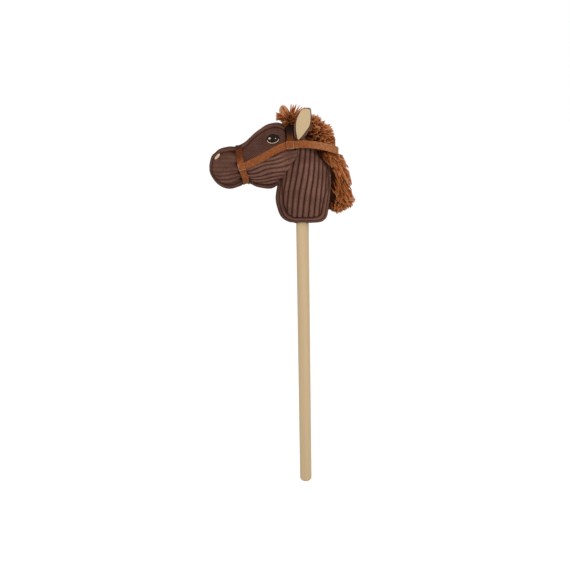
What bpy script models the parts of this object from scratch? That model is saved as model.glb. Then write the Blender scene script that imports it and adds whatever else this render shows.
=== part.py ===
"""Hobby horse: a stuffed corduroy horse's head on a wooden stick.

The origin is the middle of the stick's foot and +Z runs up the stick. The horse looks along -X,
and its left side is at -Y. Sizes are in metres.
"""

import math

import bmesh
import bpy
import numpy as np
from mathutils import Vector
from mathutils.bvhtree import BVHTree

# Air between two pieces that touch
GAP = 0.0003

# Stick
STICK_DIAMETER = 0.025
STICK_FOOT_FLAT = 0.010
STICK_FOOT_ROUNDING = 0.006
STICK_TOP_CHAMFER = 0.0015
STICK_IN_NECK = 0.130
CAP_WALL = 0.0018
CAP_DEPTH = 0.014

# Height on the stick at which the stuffed neck begins
NECK_FOOT = 0.564

# Cloth, and the strips of it between the two sides of the head and of the neck
CLOTH = 0.0022
FACE_GUSSET_WIDTH = 0.044
NECK_GUSSET_WIDTH = 0.050

# Sleeve inside the neck, its tie and its tacks
SLEEVE_LENGTH = 0.034
SLEEVE_WALL = 0.0016
TIE_WIDTH = 0.0045
TIE_WALL = 0.0013
TIE_HEIGHT = 0.022
TIE_LOCK = (0.0055, 0.0060, 0.0065)
TACK_COUNT = 4
TACK_HEIGHT = 0.010
TACK_HEAD_DIAMETER = 0.0080
TACK_HEAD_HEIGHT = 0.0014
TACK_SHANK_DIAMETER = 0.0018
TACK_LENGTH = 0.0100

# Neck: height above its foot, front, back, half width
NECK_STATIONS = (
    (0.0000, -0.0190, 0.0310, 0.0170),
    (0.0035, -0.0315, 0.0420, 0.0205),
    (0.0120, -0.0420, 0.0490, 0.0255),
    (0.0270, -0.0480, 0.0520, 0.0345),
    (0.0480, -0.0520, 0.0545, 0.0420),
    (0.0760, -0.0500, 0.0560, 0.0460),
    (0.1010, -0.0460, 0.0540, 0.0460),
    (0.1220, -0.0420, 0.0450, 0.0445),
    (0.1410, -0.0370, 0.0300, 0.0415),
    (0.1600, -0.0310, 0.0150, 0.0380),
    (0.1750, -0.0230, 0.0040, 0.0290),
    (0.1830, -0.0150, -0.0040, 0.0130),
)

# The cheek, where the straps meet: behind the stick's axis and above the neck's foot
CHEEK_BACK = -0.0220
CHEEK_RISE = 0.1510

# Head, from its rear to its nose, measured from the cheek:
# top (x, z), underside (x, z), half width
HEAD_STATIONS = (
    ((0.0160, -0.0030), (0.0160, -0.0200), 0.0140),
    ((0.0100, 0.0080), (0.0100, -0.0320), 0.0300),
    ((-0.0020, 0.0240), (-0.0030, -0.0520), 0.0390),
    ((-0.0120, 0.0370), (-0.0190, -0.0720), 0.0420),
    ((-0.0270, 0.0410), (-0.0330, -0.0820), 0.0435),
    ((-0.0460, 0.0360), (-0.0460, -0.0830), 0.0430),
    ((-0.0660, 0.0230), (-0.0620, -0.0800), 0.0405),
    ((-0.0840, 0.0080), (-0.0780, -0.0750), 0.0370),
    ((-0.0960, 0.0015), (-0.0870, -0.0735), 0.0345),
    ((-0.1050, 0.0010), (-0.0960, -0.0770), 0.0350),
    ((-0.1180, -0.0020), (-0.1130, -0.0820), 0.0355),
    ((-0.1340, -0.0050), (-0.1270, -0.0800), 0.0330),
    ((-0.1430, -0.0120), (-0.1400, -0.0730), 0.0290),
    ((-0.1510, -0.0190), (-0.1500, -0.0620), 0.0220),
    ((-0.1560, -0.0340), (-0.1560, -0.0510), 0.0090),
)

# Sides of a ring of each form, steps between its stations, and how square a ring is
BODY_SIDES = 20
HEAD_STEPS = 1
NECK_STEPS = 1
MANE_SIDES = 14
MANE_STEPS = 2
FULLNESS = 2.1

# Faces round a turned piece, round a small one, along half an arch, and along short arcs
TURN_STEPS = 24
ROUND_SIDES = 12
ARCH_STEPS = 24
FOOT_STEPS = 6
DOME_STEPS = 2
FORELOCK_SEGMENTS = 16
FORELOCK_RINGS = 10

# Steps in each span of a strap's and an ear's middle line
STRAP_STEPS = 3
EAR_STEPS = 2

# Columns and rows of faces on the laid pieces
CHEEK_STRAP_GRID = (16, 3)
KEEPER_GRID = (4, 4)
EAR_GRID = (6, 9)
EAR_LINING_GRID = (6, 8)
EYE_GRID = (8, 5)
EYE_LINE_GRID = (8, 1)
NOSTRIL_GRID = (5, 3)

# Edges flatter than this are shaded smooth, and points closer than this are one
SMOOTH_UNDER = math.radians(50.0)
WELD = 0.00001

# Straps; their places are measured from the cheek
STRAP_WIDTH = 0.0135
STRAP = 0.0014
STRAP_LIFT = 0.0006
NOSEBAND_TOP = (-0.0975, -0.0010)
NOSEBAND_FOOT = (-0.0850, -0.0735)
CHEEK_STRAP_ROUTE = ((-0.0815, -0.0345), (-0.0570, -0.0220), (-0.0370, -0.0115), (-0.0190, -0.0040))
BRIDGE_START = -0.0300
JUNCTION_HALF_WIDTH = 0.0432
JUNCTION_LAP = 0.0065
CROWN_STRAP_WIDTH = 0.0125
CROWN_STRAP_RISE = 0.0360
CROWN_STRAP_FULLNESS = 2.5
TAB_SIZE = 0.0140
STITCH_DIAMETER = 0.0036
KEEPER_FRONT = (-0.1000, -0.0435)
KEEPER_BACK = (-0.0795, -0.0345)
KEEPER_LIFT = 0.0006

# Rein: how far its loop reaches behind the cheek, how square its bend is there, and its lift and
# drop on the way
REIN_REACH = 0.0915
REIN_SQUARENESS = 3.0
REIN_LIFT = 0.0028
REIN_DROP = 0.0135
REIN_STRAIGHT_STEPS = 6
REIN_BEND_STEPS = 22

# Ears: their base from the cheek, and rise, middle and half width from that base. Their border
# reaches its width over the first EAR_BORDER_RUN of the height, and they lean towards each other
EAR_BASE = (0.0160, 0.0095)
EAR_STATIONS = (
    (0.0000, 0.0000, 0.0040),
    (0.0060, 0.0015, 0.0075),
    (0.0115, 0.0045, 0.0102),
    (0.0240, 0.0088, 0.0145),
    (0.0385, 0.0114, 0.0138),
    (0.0510, 0.0152, 0.0083),
    (0.0570, 0.0175, 0.0018),
)
EAR_CLOTH = 0.0020
EAR_BORDER = 0.0020
EAR_BORDER_RUN = 0.25
EAR_LINING = 0.0012
EAR_CUP = 0.0025
EAR_LEAN = math.radians(5.0)
EAR_TIP = 0.0012

# Embroidery: centres from the cheek, and tilts up towards the rear
EYE_CENTRE = (-0.0310, 0.0122)
EYE_LENGTH = 0.0250
EYE_HEIGHT = 0.0165
EYE_TILT = math.radians(7.0)
NOSTRIL_CENTRE = (-0.1370, -0.0190)
NOSTRIL_LENGTH = 0.0120
NOSTRIL_HEIGHT = 0.0050
NOSTRIL_TILT = math.radians(44.0)
EMBROIDERY = 0.0007
EMBROIDERY_LIFT = 0.0005
EYE_LINE = (-0.98, -0.74)
EYE_LINE_REACH = 0.86
ALMOND_END = 0.14

# Mane: its tape on the crest, and the yarn as outer point, inner point and half width, from the cheek
TAPE_WIDTH = 0.0160
TAPE = 0.0012
TAPE_SEAT = 0.0005
TAPE_LOW = 0.0300
TAPE_HIGH = 0.1750
MANE_STATIONS = (
    ((0.0230, 0.0700), (0.0200, 0.0370), 0.0120),
    ((0.0340, 0.0670), (0.0210, 0.0260), 0.0220),
    ((0.0490, 0.0570), (0.0260, 0.0160), 0.0290),
    ((0.0680, 0.0380), (0.0370, 0.0030), 0.0330),
    ((0.0850, 0.0140), (0.0450, -0.0080), 0.0330),
    ((0.0940, -0.0080), (0.0540, -0.0180), 0.0300),
    ((0.1040, -0.0300), (0.0640, -0.0320), 0.0260),
    ((0.1130, -0.0500), (0.0700, -0.0500), 0.0250),
    ((0.1180, -0.0800), (0.0740, -0.0780), 0.0250),
    ((0.1210, -0.1050), (0.0740, -0.1020), 0.0240),
    ((0.1170, -0.1230), (0.0740, -0.1180), 0.0200),
    ((0.1000, -0.1330), (0.0740, -0.1290), 0.0080),
)
MANE_POLL_FROM = 0.0340
MANE_LOWER_FROM = -0.0720
MANE_CLEARANCE = 0.0015
FORELOCK_CENTRE = (-0.0030, 0.0550)
FORELOCK_SIZE = (0.0440, 0.0360, 0.0420)

# Colours
CORDUROY = (0.094, 0.040, 0.027)
LEATHER = (0.246, 0.078, 0.028)
LINING = (0.60, 0.45, 0.27)
YARN = (0.27, 0.075, 0.018)
WOOD = (0.58, 0.42, 0.25)
FILLING = (0.85, 0.85, 0.82)
THREAD = (0.78, 0.70, 0.56)
DARK_THREAD = (0.020, 0.010, 0.008)
TAPE_COTTON = (0.080, 0.040, 0.025)
STEEL = (0.55, 0.55, 0.56)
NYLON = (0.80, 0.80, 0.78)

# What follows from the sizes above
STICK_RADIUS = STICK_DIAMETER / 2
STICK_LENGTH = NECK_FOOT + STICK_IN_NECK
CHEEK = Vector((CHEEK_BACK, 0.0, NECK_FOOT + CHEEK_RISE))
REIN_HALF_WIDTH = JUNCTION_HALF_WIDTH + STRAP + GAP
TAB_HALF_WIDTH = REIN_HALF_WIDTH + STRAP + GAP
REIN_LOW_EDGE = -REIN_DROP - STRAP_WIDTH / 2
SLEEVE_FOOT = NECK_FOOT + CLOTH + GAP
SLEEVE_BORE = STICK_RADIUS + GAP
SLEEVE_RADIUS = SLEEVE_BORE + SLEEVE_WALL
FAR = 1.0
SIDES = ((-1, "left"), (1, "right"))


def remove_everything():
    for item in list(bpy.data.objects):
        bpy.data.objects.remove(item)


def make_collection(name):
    collection = bpy.data.collections.new(name)
    bpy.context.scene.collection.children.link(collection)
    return collection


def material(name, colour, roughness, metallic=0.0):
    made = bpy.data.materials.new(name)
    made.use_nodes = True
    shader = made.node_tree.nodes["Principled BSDF"]
    shader.inputs["Base Color"].default_value = (*colour, 1.0)
    shader.inputs["Roughness"].default_value = roughness
    shader.inputs["Metallic"].default_value = metallic
    return made


def new_object(name, data, collection, finish=None):
    made = bpy.data.objects.new(name, data)
    collection.objects.link(made)
    if finish is not None:
        data.materials.append(finish)
    return made


def mesh_object(name, shape, collection, finish=None):
    """An object from a bmesh, smooth where its faces meet at a flat angle."""
    mesh = bpy.data.meshes.new(name)
    shape.to_mesh(mesh)
    shape.free()
    mesh.shade_smooth()
    mesh.set_sharp_from_angle(angle=SMOOTH_UNDER)
    return new_object(name, mesh, collection, finish)


def as_guide(item):
    """A cutter or a guide shape, which is no part of the horse."""
    item.hide_render = True
    item.display_type = "WIRE"
    return item


def copy_of(source, name, collection, finish=None):
    """A piece that starts as another object's mesh."""
    return new_object(name, source.data.copy(), collection, finish)


def grow(item, distance):
    """Moves the surface of a closed form outwards, or inwards where distance is below 0."""
    step = item.modifiers.new("grow", "DISPLACE")
    step.direction = "NORMAL"
    step.mid_level = 0.0
    step.strength = distance
    return item


def boolean(item, other, operation):
    step = item.modifiers.new(operation.lower(), "BOOLEAN")
    step.operation = operation
    step.object = other


def settle(item):
    """Applies an object's modifiers, so that its mesh can be copied or measured."""
    bpy.context.view_layer.update()
    shown = item.evaluated_get(bpy.context.evaluated_depsgraph_get())
    mesh = bpy.data.meshes.new_from_object(shown)
    item.modifiers.clear()
    item.data = mesh
    return item


def smooth_rows(rows, steps):
    """A Catmull-Rom curve through rows of numbers, with a number of steps in each span."""
    rows = np.asarray(rows, dtype=float)
    padded = np.vstack((2 * rows[0] - rows[1], rows, 2 * rows[-1] - rows[-2]))
    out = []
    for i in range(len(rows) - 1):
        a, b, c, d = padded[i : i + 4]
        for t in np.arange(steps) / steps:
            out.append(
                0.5 * (2 * b + (c - a) * t + (2 * a - 5 * b + 4 * c - d) * t**2
                       + (3 * b - a - 3 * c + d) * t**3)
            )
    out.append(rows[-1])
    return np.array(out)


def ring(top, foot, half_width, sides):
    """A rounded section between two points of the plane y = 0."""
    centre = (top + foot) / 2
    up = (top - foot) / 2
    points = []
    for i in range(sides):
        angle = 2 * math.pi * i / sides
        c = math.cos(angle)
        s = math.sin(angle)
        rise = math.copysign(abs(c) ** (2 / FULLNESS), c)
        spread = math.copysign(abs(s) ** (2 / FULLNESS), s)
        points.append(centre + up * rise + Vector((0.0, half_width * spread, 0.0)))
    return points


def loft(sections):
    """A closed body through rings of as many points each, with flat ends."""
    shape = bmesh.new()
    rings = [[shape.verts.new(p) for p in section] for section in sections]
    count = len(rings[0])
    for one, two in zip(rings, rings[1:]):
        for i in range(count):
            j = (i + 1) % count
            shape.faces.new((one[i], one[j], two[j], two[i]))
    shape.faces.new(rings[0])
    shape.faces.new(rings[-1])
    bmesh.ops.recalc_face_normals(shape, faces=shape.faces)
    return shape


def form_from(rows, to_section, sides, steps):
    """A stuffed form as triangles, so that its grown copies keep their distance everywhere."""
    shape = loft([ring(*to_section(row), sides) for row in smooth_rows(rows, steps)])
    bmesh.ops.triangulate(shape, faces=shape.faces)
    return shape


def neck_section(row):
    rise, front, back, half_width = row
    z = NECK_FOOT + rise
    return Vector((back, 0.0, z)), Vector((front, 0.0, z)), half_width


def cheek_section(row):
    top_x, top_z, foot_x, foot_z, half_width = row
    top = CHEEK + Vector((top_x, 0.0, top_z))
    foot = CHEEK + Vector((foot_x, 0.0, foot_z))
    return top, foot, half_width


def flat_rows(stations):
    return [(*top, *foot, half_width) for top, foot, half_width in stations]


def box(name, low, high, collection):
    shape = bmesh.new()
    bmesh.ops.create_cube(shape, size=1.0)
    size = Vector(high) - Vector(low)
    bmesh.ops.scale(shape, vec=size, verts=shape.verts)
    bmesh.ops.translate(shape, vec=(Vector(high) + Vector(low)) / 2, verts=shape.verts)
    return mesh_object(name, shape, collection)


def turned(name, profile, collection, finish=None, steps=TURN_STEPS):
    """A body turned about Z from a profile of (radius, height) that runs down its outer side."""
    shape = bmesh.new()
    verts = [shape.verts.new((radius, 0.0, height)) for radius, height in profile]
    for one, two in zip(verts, verts[1:]):
        shape.edges.new((one, two))
    if profile[0][0] > 0:
        shape.edges.new((verts[-1], verts[0]))
    made = mesh_object(name, shape, collection, finish)
    screw = made.modifiers.new("turn", "SCREW")
    screw.steps = steps
    screw.render_steps = steps
    screw.use_merge_vertices = True
    screw.merge_threshold = WELD
    screw.use_smooth_shade = True
    return made


def band(bore, outer, low, high):
    """The profile of a plain ring."""
    return [(outer, high), (outer, low), (bore, low), (bore, high)]


def cylinder(name, radius, low, high, collection, sides=TURN_STEPS):
    """A round cutter along Z."""
    shape = bmesh.new()
    bmesh.ops.create_cone(
        shape, cap_ends=True, segments=sides, radius1=radius, radius2=radius, depth=high - low
    )
    bmesh.ops.translate(shape, vec=(0.0, 0.0, (low + high) / 2), verts=shape.verts)
    return mesh_object(name, shape, collection)


class Surface:
    """The side of one or more stuffed forms, found by looking at them along Y."""

    def __init__(self, *items):
        graph = bpy.context.evaluated_depsgraph_get()
        self.trees = [BVHTree.FromObject(item, graph) for item in items]

    def half_width(self, x, z):
        best = 0.0
        for tree in self.trees:
            hit = tree.ray_cast(Vector((x, -FAR, z)), Vector((0.0, 1.0, 0.0)))
            if hit[0] is not None:
                best = max(best, -hit[0].y)
        return best


def laid_sheet(name, collection, finish, side, place, size, lift, thickness):
    """A thin piece laid on the horse's side.

    place(u, v) gives (x, half width, z) for u and v from 0 to 1, and size is its columns and rows.
    The piece stands off by lift, and Solidify gives it its thickness outwards. side is -1 on the
    horse's left and 1 on its right.
    """
    columns, rows = size
    shape = bmesh.new()
    grid = []
    for i in range(columns + 1):
        line = []
        for j in range(rows + 1):
            x, half_width, z = place(i / columns, j / rows)
            line.append(shape.verts.new((x, side * (half_width + lift), z)))
        grid.append(line)
    for i in range(columns):
        for j in range(rows):
            corners = (grid[i][j], grid[i + 1][j], grid[i + 1][j + 1], grid[i][j + 1])
            shape.faces.new(corners)
    shape.normal_update()
    if sum(face.normal.y for face in shape.faces) * side < 0:
        bmesh.ops.reverse_faces(shape, faces=shape.faces)
    made = mesh_object(name, shape, collection, finish)
    wall = made.modifiers.new("thickness", "SOLIDIFY")
    wall.thickness = thickness
    wall.offset = 1.0
    return made


def standing_outline(name, points, half_depth, collection, finish, plane):
    """A flat outline, drawn in the XZ or the YZ plane and given a thickness on both sides."""
    curve = bpy.data.curves.new(name, "CURVE")
    curve.dimensions = "2D"
    curve.fill_mode = "BOTH"
    curve.extrude = half_depth
    line = curve.splines.new("POLY")
    line.points.add(len(points) - 1)
    for point, (a, b) in zip(line.points, points):
        point.co = (a, b, 0.0, 1.0)
    line.use_cyclic_u = True
    made = new_object(name, curve, collection, finish)
    made.rotation_euler = (math.pi / 2, 0.0, math.pi / 2 if plane == "YZ" else 0.0)
    return made


def curve_to_mesh(item, finish):
    """Turns a curve object into a closed mesh object of the same name and place."""
    bpy.context.view_layer.update()
    name = item.name
    collection = item.users_collection[0]
    shown = item.evaluated_get(bpy.context.evaluated_depsgraph_get())
    mesh = bpy.data.meshes.new_from_object(shown)
    place = item.matrix_world.copy()
    bpy.data.objects.remove(item)
    shape = bmesh.new()
    shape.from_mesh(mesh)
    bmesh.ops.remove_doubles(shape, verts=shape.verts, dist=WELD)
    bmesh.ops.recalc_face_normals(shape, faces=shape.faces)
    shape.to_mesh(mesh)
    shape.free()
    mesh.materials.clear()
    made = new_object(name, mesh, collection, finish)
    made.matrix_world = place
    return made


def make_guides(guides):
    """The outer forms of head and neck, and the shapes that cut the pieces from them."""
    found = {}
    found["head"] = mesh_object(
        "head_form",
        form_from(flat_rows(HEAD_STATIONS), cheek_section, BODY_SIDES, HEAD_STEPS),
        guides,
    )
    found["neck"] = mesh_object(
        "neck_form", form_from(NECK_STATIONS, neck_section, BODY_SIDES, NECK_STEPS), guides
    )
    for part in ("head", "neck"):
        outer = found[part]
        found[part + "_around"] = settle(grow(copy_of(outer, part + "_around", guides), GAP))
        found[part + "_inside"] = settle(grow(copy_of(outer, part + "_inside", guides), -CLOTH))
    for part, width in (("head", FACE_GUSSET_WIDTH), ("neck", NECK_GUSSET_WIDTH)):
        side = width / 2 + GAP / 2
        strip = width / 2 - GAP / 2
        found[part + "_left"] = box(part + "_left", (-FAR, -FAR, -FAR), (FAR, -side, FAR), guides)
        found[part + "_right"] = box(part + "_right", (-FAR, side, -FAR), (FAR, FAR, FAR), guides)
        found[part + "_middle"] = box(part + "_middle", (-FAR, -strip, -FAR), (FAR, strip, FAR), guides)
    found["stick"] = cylinder(
        "stick_bore", STICK_RADIUS + GAP, -STICK_DIAMETER, STICK_LENGTH + GAP, guides
    )
    cap_radius = STICK_RADIUS + CAP_WALL + 2 * GAP
    found["cap"] = cylinder(
        "cap_room",
        cap_radius,
        STICK_LENGTH - CAP_DEPTH,
        STICK_LENGTH + CAP_WALL + 2 * GAP,
        guides,
    )
    sleeve_room = SLEEVE_RADIUS + max(TACK_HEAD_HEIGHT, TIE_WALL, TIE_LOCK[0]) + 2 * GAP
    found["sleeve"] = cylinder(
        "sleeve_room",
        sleeve_room,
        SLEEVE_FOOT - CLOTH / 2,
        SLEEVE_FOOT + SLEEVE_LENGTH + GAP,
        guides,
    )
    for item in found.values():
        as_guide(item)
    return found


def make_stick(parts, finishes):
    """The wooden stick, with a domed foot, and the moulded cap on its upper end."""
    profile = [
        (0.0, STICK_LENGTH),
        (STICK_RADIUS - STICK_TOP_CHAMFER, STICK_LENGTH),
        (STICK_RADIUS, STICK_LENGTH - STICK_TOP_CHAMFER),
    ]
    flat = STICK_FOOT_FLAT / 2
    for i in range(FOOT_STEPS + 1):
        angle = math.pi / 2 * i / FOOT_STEPS
        radius = flat + (STICK_RADIUS - flat) * math.cos(angle)
        profile.append((radius, STICK_FOOT_ROUNDING * (1 - math.sin(angle))))
    profile.append((0.0, 0.0))
    stick = turned("stick", profile, parts, finishes["wood"])

    bore = STICK_RADIUS + GAP
    outer = bore + CAP_WALL
    top = STICK_LENGTH + GAP + CAP_WALL
    foot = STICK_LENGTH - CAP_DEPTH + 2 * GAP
    turned(
        "stick_cap",
        [
            (0.0, top),
            (outer - CAP_WALL / 2, top),
            (outer, top - CAP_WALL / 2),
            (outer, foot),
            (bore, foot),
            (bore, STICK_LENGTH + GAP),
            (0.0, STICK_LENGTH + GAP),
        ],
        parts,
        finishes["nylon"],
    )
    return stick


def make_fixing(parts, guides, finishes, stick):
    """The sleeve that draws the neck's mouth to the stick, its tie, and its tacks."""
    top = SLEEVE_FOOT + SLEEVE_LENGTH
    sleeve = turned(
        "neck_sleeve", band(SLEEVE_BORE, SLEEVE_RADIUS, SLEEVE_FOOT, top), parts, finishes["tape"]
    )
    tie_bore = SLEEVE_RADIUS + GAP
    tie_outer = tie_bore + TIE_WALL
    low = SLEEVE_FOOT + TIE_HEIGHT
    tie = turned(
        "neck_tie", band(tie_bore, tie_outer, low, low + TIE_WIDTH), parts, finishes["nylon"]
    )
    lock_out, lock_along, lock_high = TIE_LOCK
    middle = low + TIE_WIDTH / 2
    lock = box(
        "tie_lock",
        (tie_bore + TIE_WALL / 2, -lock_along / 2, middle - lock_high / 2),
        (SLEEVE_RADIUS + lock_out, lock_along / 2, middle + lock_high / 2),
        guides,
    )
    boolean(tie, as_guide(lock), "UNION")

    height = SLEEVE_FOOT + TACK_HEIGHT
    shank = TACK_SHANK_DIAMETER / 2
    profile = []
    for i in range(DOME_STEPS + 1):
        angle = math.pi / 2 * i / DOME_STEPS
        profile.append((TACK_HEAD_DIAMETER / 2 * math.sin(angle), TACK_HEAD_HEIGHT * math.cos(angle)))
    profile.append((shank, 0.0))
    profile.append((shank, -TACK_LENGTH + TACK_SHANK_DIAMETER))
    profile.append((0.0, -TACK_LENGTH))
    seat = SLEEVE_RADIUS + GAP
    for i in range(TACK_COUNT):
        angle = 2 * math.pi * (i + 0.5) / TACK_COUNT
        facing = (0.0, math.pi / 2, angle)
        tack = turned(f"tack_{i + 1}", profile, parts, finishes["steel"], steps=ROUND_SIDES)
        tack.location = (seat * math.cos(angle), seat * math.sin(angle), height)
        tack.rotation_euler = facing
        hole = cylinder(
            f"tack_hole_{i + 1}",
            shank + GAP,
            -TACK_LENGTH - GAP,
            TACK_HEAD_HEIGHT,
            guides,
            ROUND_SIDES,
        )
        hole.location = tack.location
        hole.rotation_euler = facing
        as_guide(hole)
        boolean(sleeve, hole, "DIFFERENCE")
        boolean(stick, hole, "DIFFERENCE")


def make_stuffing(parts, finishes, forms):
    """The two stuffed bodies: the neck on the stick, and the head cut by the neck."""
    filling = finishes["filling"]
    neck = settle(grow(copy_of(forms["neck"], "neck_stuffing", parts, filling), -CLOTH - GAP))
    boolean(neck, forms["stick"], "DIFFERENCE")
    boolean(neck, forms["cap"], "DIFFERENCE")
    boolean(neck, forms["sleeve"], "DIFFERENCE")
    head = settle(grow(copy_of(forms["head"], "head_stuffing", parts, filling), -CLOTH - GAP))
    boolean(head, forms["neck_inside"], "DIFFERENCE")


def make_covers(parts, finishes, forms):
    """The corduroy: two sides and a gusset strip for the head, and the same for the neck."""
    names = {
        "head": {"left": "head_panel_left", "right": "head_panel_right", "middle": "face_gusset"},
        "neck": {"left": "neck_panel_left", "right": "neck_panel_right", "middle": "neck_gusset"},
    }
    for part, other in (("head", "neck"), ("neck", "head")):
        for place, name in names[part].items():
            cover = copy_of(forms[part], name, parts, finishes["corduroy"])
            boolean(cover, forms[f"{part}_{place}"], "INTERSECT")
            boolean(cover, forms[part + "_inside"], "DIFFERENCE")
            boolean(cover, forms[other + "_around"], "DIFFERENCE")
            if name == "neck_gusset":
                boolean(cover, forms["stick"], "DIFFERENCE")


def cheek_point(place, half_width=0.0):
    """A point given by its place from the cheek."""
    return CHEEK + Vector((place[0], half_width, place[1]))


def put_origin(item, point):
    """Moves an object's origin, and leaves its shape where it is."""
    for vertex in item.data.vertices:
        vertex.co -= point
    item.location = point


def band_between(route, width):
    """place(u, v) in the XZ plane for a band along a route: u runs along it, v across it."""
    rows = smooth_rows(route, STRAP_STEPS)

    def place(u, v):
        at = u * (len(rows) - 1)
        first = min(int(at), len(rows) - 2)
        along = rows[first + 1] - rows[first]
        point = rows[first] + along * (at - first)
        across = np.array((-along[1], along[0])) / np.hypot(*along)
        return point + across * width * (v - 0.5)

    return place


def make_straps(parts, guides, finishes, forms):
    """The bridle: noseband, cheek straps, crown strap, and the stitched tabs on their ends."""
    leather = finishes["leather"]
    # The noseband is the slice of a shell round the muzzle's waist
    top = cheek_point(NOSEBAND_TOP)
    foot = cheek_point(NOSEBAND_FOOT)
    noseband = settle(grow(copy_of(forms["head"], "noseband", parts, leather), GAP + STRAP))
    slab = box("noseband_slab", (-STRAP_WIDTH / 2, -FAR, -FAR), (STRAP_WIDTH / 2, FAR, FAR), guides)
    slab.location = (top + foot) / 2
    slab.rotation_euler = (0.0, math.atan2(top.x - foot.x, top.z - foot.z), 0.0)
    boolean(noseband, forms["head_around"], "DIFFERENCE")
    boolean(noseband, as_guide(slab), "INTERSECT")

    sides = Surface(forms["head"], forms["neck"])
    route = (*CHEEK_STRAP_ROUTE, (0.0, 0.0), (JUNCTION_LAP, 0.0))
    strap_place = band_between(route, STRAP_WIDTH)
    keeper_place = band_between((KEEPER_FRONT, KEEPER_BACK), TAB_SIZE)

    def on_cheek(u, v):
        x, z = strap_place(u, v)
        point = cheek_point((x, z))
        rest = sides.half_width(point.x, point.z)
        if x > BRIDGE_START:
            rest = max(rest, JUNCTION_HALF_WIDTH - STRAP_LIFT)
        return point.x, rest, point.z

    def over_noseband(u, v):
        point = cheek_point(keeper_place(u, v))
        return point.x, sides.half_width(point.x, point.z), point.z

    keeper_lift = STRAP_LIFT + STRAP + KEEPER_LIFT
    for side, name in SIDES:
        laid_sheet(
            "cheek_strap_" + name, parts, leather, side, on_cheek, CHEEK_STRAP_GRID, STRAP_LIFT, STRAP
        )
        laid_sheet(
            "noseband_keeper_" + name, parts, leather, side, over_noseband, KEEPER_GRID, keeper_lift, STRAP
        )
        # The tab lies on the rein's end, and its stitches reach through to the cheek strap
        tab = box(
            "strap_tab_" + name,
            (-TAB_SIZE / 2, min(0.0, side * STRAP), -TAB_SIZE / 2),
            (TAB_SIZE / 2, max(0.0, side * STRAP), TAB_SIZE / 2),
            parts,
        )
        tab.data.materials.append(leather)
        tab.location = (CHEEK.x, side * TAB_HALF_WIDTH, CHEEK.z)
        core = as_guide(
            cylinder(
                "tab_stitch_" + name,
                STITCH_DIAMETER / 2,
                -STRAP - GAP,
                STRAP / 2,
                guides,
                ROUND_SIDES,
            )
        )
        core.location = tab.location
        core.rotation_euler = (-side * math.pi / 2, 0.0, 0.0)
        boolean(tab, core, "UNION")

    # The crown strap is an arch over the poll
    outer = JUNCTION_HALF_WIDTH - GAP
    inner = outer - STRAP
    arch = []
    edges = ((outer, CROWN_STRAP_RISE + STRAP, 1), (inner, CROWN_STRAP_RISE, -1))
    for half_width, rise, order in edges:
        edge = [(-half_width, -STRAP_WIDTH / 2)]
        for i in range(ARCH_STEPS + 1):
            angle = math.pi * i / ARCH_STEPS
            c = math.cos(angle)
            across = -math.copysign(abs(c) ** (2 / CROWN_STRAP_FULLNESS), c)
            up = rise * math.sin(angle) ** (2 / CROWN_STRAP_FULLNESS)
            edge.append((half_width * across, up))
        edge.append((half_width, -STRAP_WIDTH / 2))
        arch.extend(edge[::order])
    crown = standing_outline("crown_strap", arch, CROWN_STRAP_WIDTH / 2, parts, leather, "YZ")
    crown.location = CHEEK
    return curve_to_mesh(crown, leather)


def rein_bend(start, reach, half_width, steps):
    """The squarish arc of the loop in plan, as (x from the cheek, y), from y below 0 to y above."""
    power = 2 / REIN_SQUARENESS
    points = []
    for i in range(steps + 1):
        angle = math.pi * i / steps
        c = math.cos(angle)
        along = (reach - start) * math.sin(angle) ** power
        points.append((start + along, -half_width * math.copysign(abs(c) ** power, c)))
    return points


def rein_route():
    """The middle line of the rein from its left end round the neck to its right end."""
    middle = REIN_HALF_WIDTH + STRAP / 2
    bend = REIN_REACH - middle
    straight = np.linspace(-JUNCTION_LAP, bend, REIN_STRAIGHT_STEPS, endpoint=False)
    route = [(x, -middle) for x in straight]
    route.extend(rein_bend(bend, REIN_REACH, middle, REIN_BEND_STEPS))
    route.extend((x, middle) for x in straight[::-1])
    out = []
    for x, y in route:
        t = max(0.0, x / REIN_REACH)
        z = REIN_LIFT * 4 * t * (1 - t) - REIN_DROP * t**2
        out.append(CHEEK + Vector((x, y, z)))
    return out


def make_rein(parts, guides, finishes):
    """The rein: one limp strap from tab to tab round the back of the neck."""
    route = rein_route()
    sections = []
    for i, point in enumerate(route):
        along = route[min(i + 1, len(route) - 1)] - route[max(i - 1, 0)]
        across = Vector((along.y, -along.x, 0.0)).normalized() * STRAP / 2
        rise = Vector((0.0, 0.0, STRAP_WIDTH / 2))
        outer = point + across
        inner = point - across
        sections.append((outer + rise, inner + rise, inner - rise, outer - rise))
    rein = mesh_object("rein", loft(sections), parts, finishes["leather"])
    hole = as_guide(
        cylinder("rein_holes", STITCH_DIAMETER / 2 + GAP, -FAR, FAR, guides, ROUND_SIDES)
    )
    hole.location = CHEEK
    hole.rotation_euler = (math.pi / 2, 0.0, 0.0)
    put_origin(rein, CHEEK)
    boolean(rein, hole, "DIFFERENCE")


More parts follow.
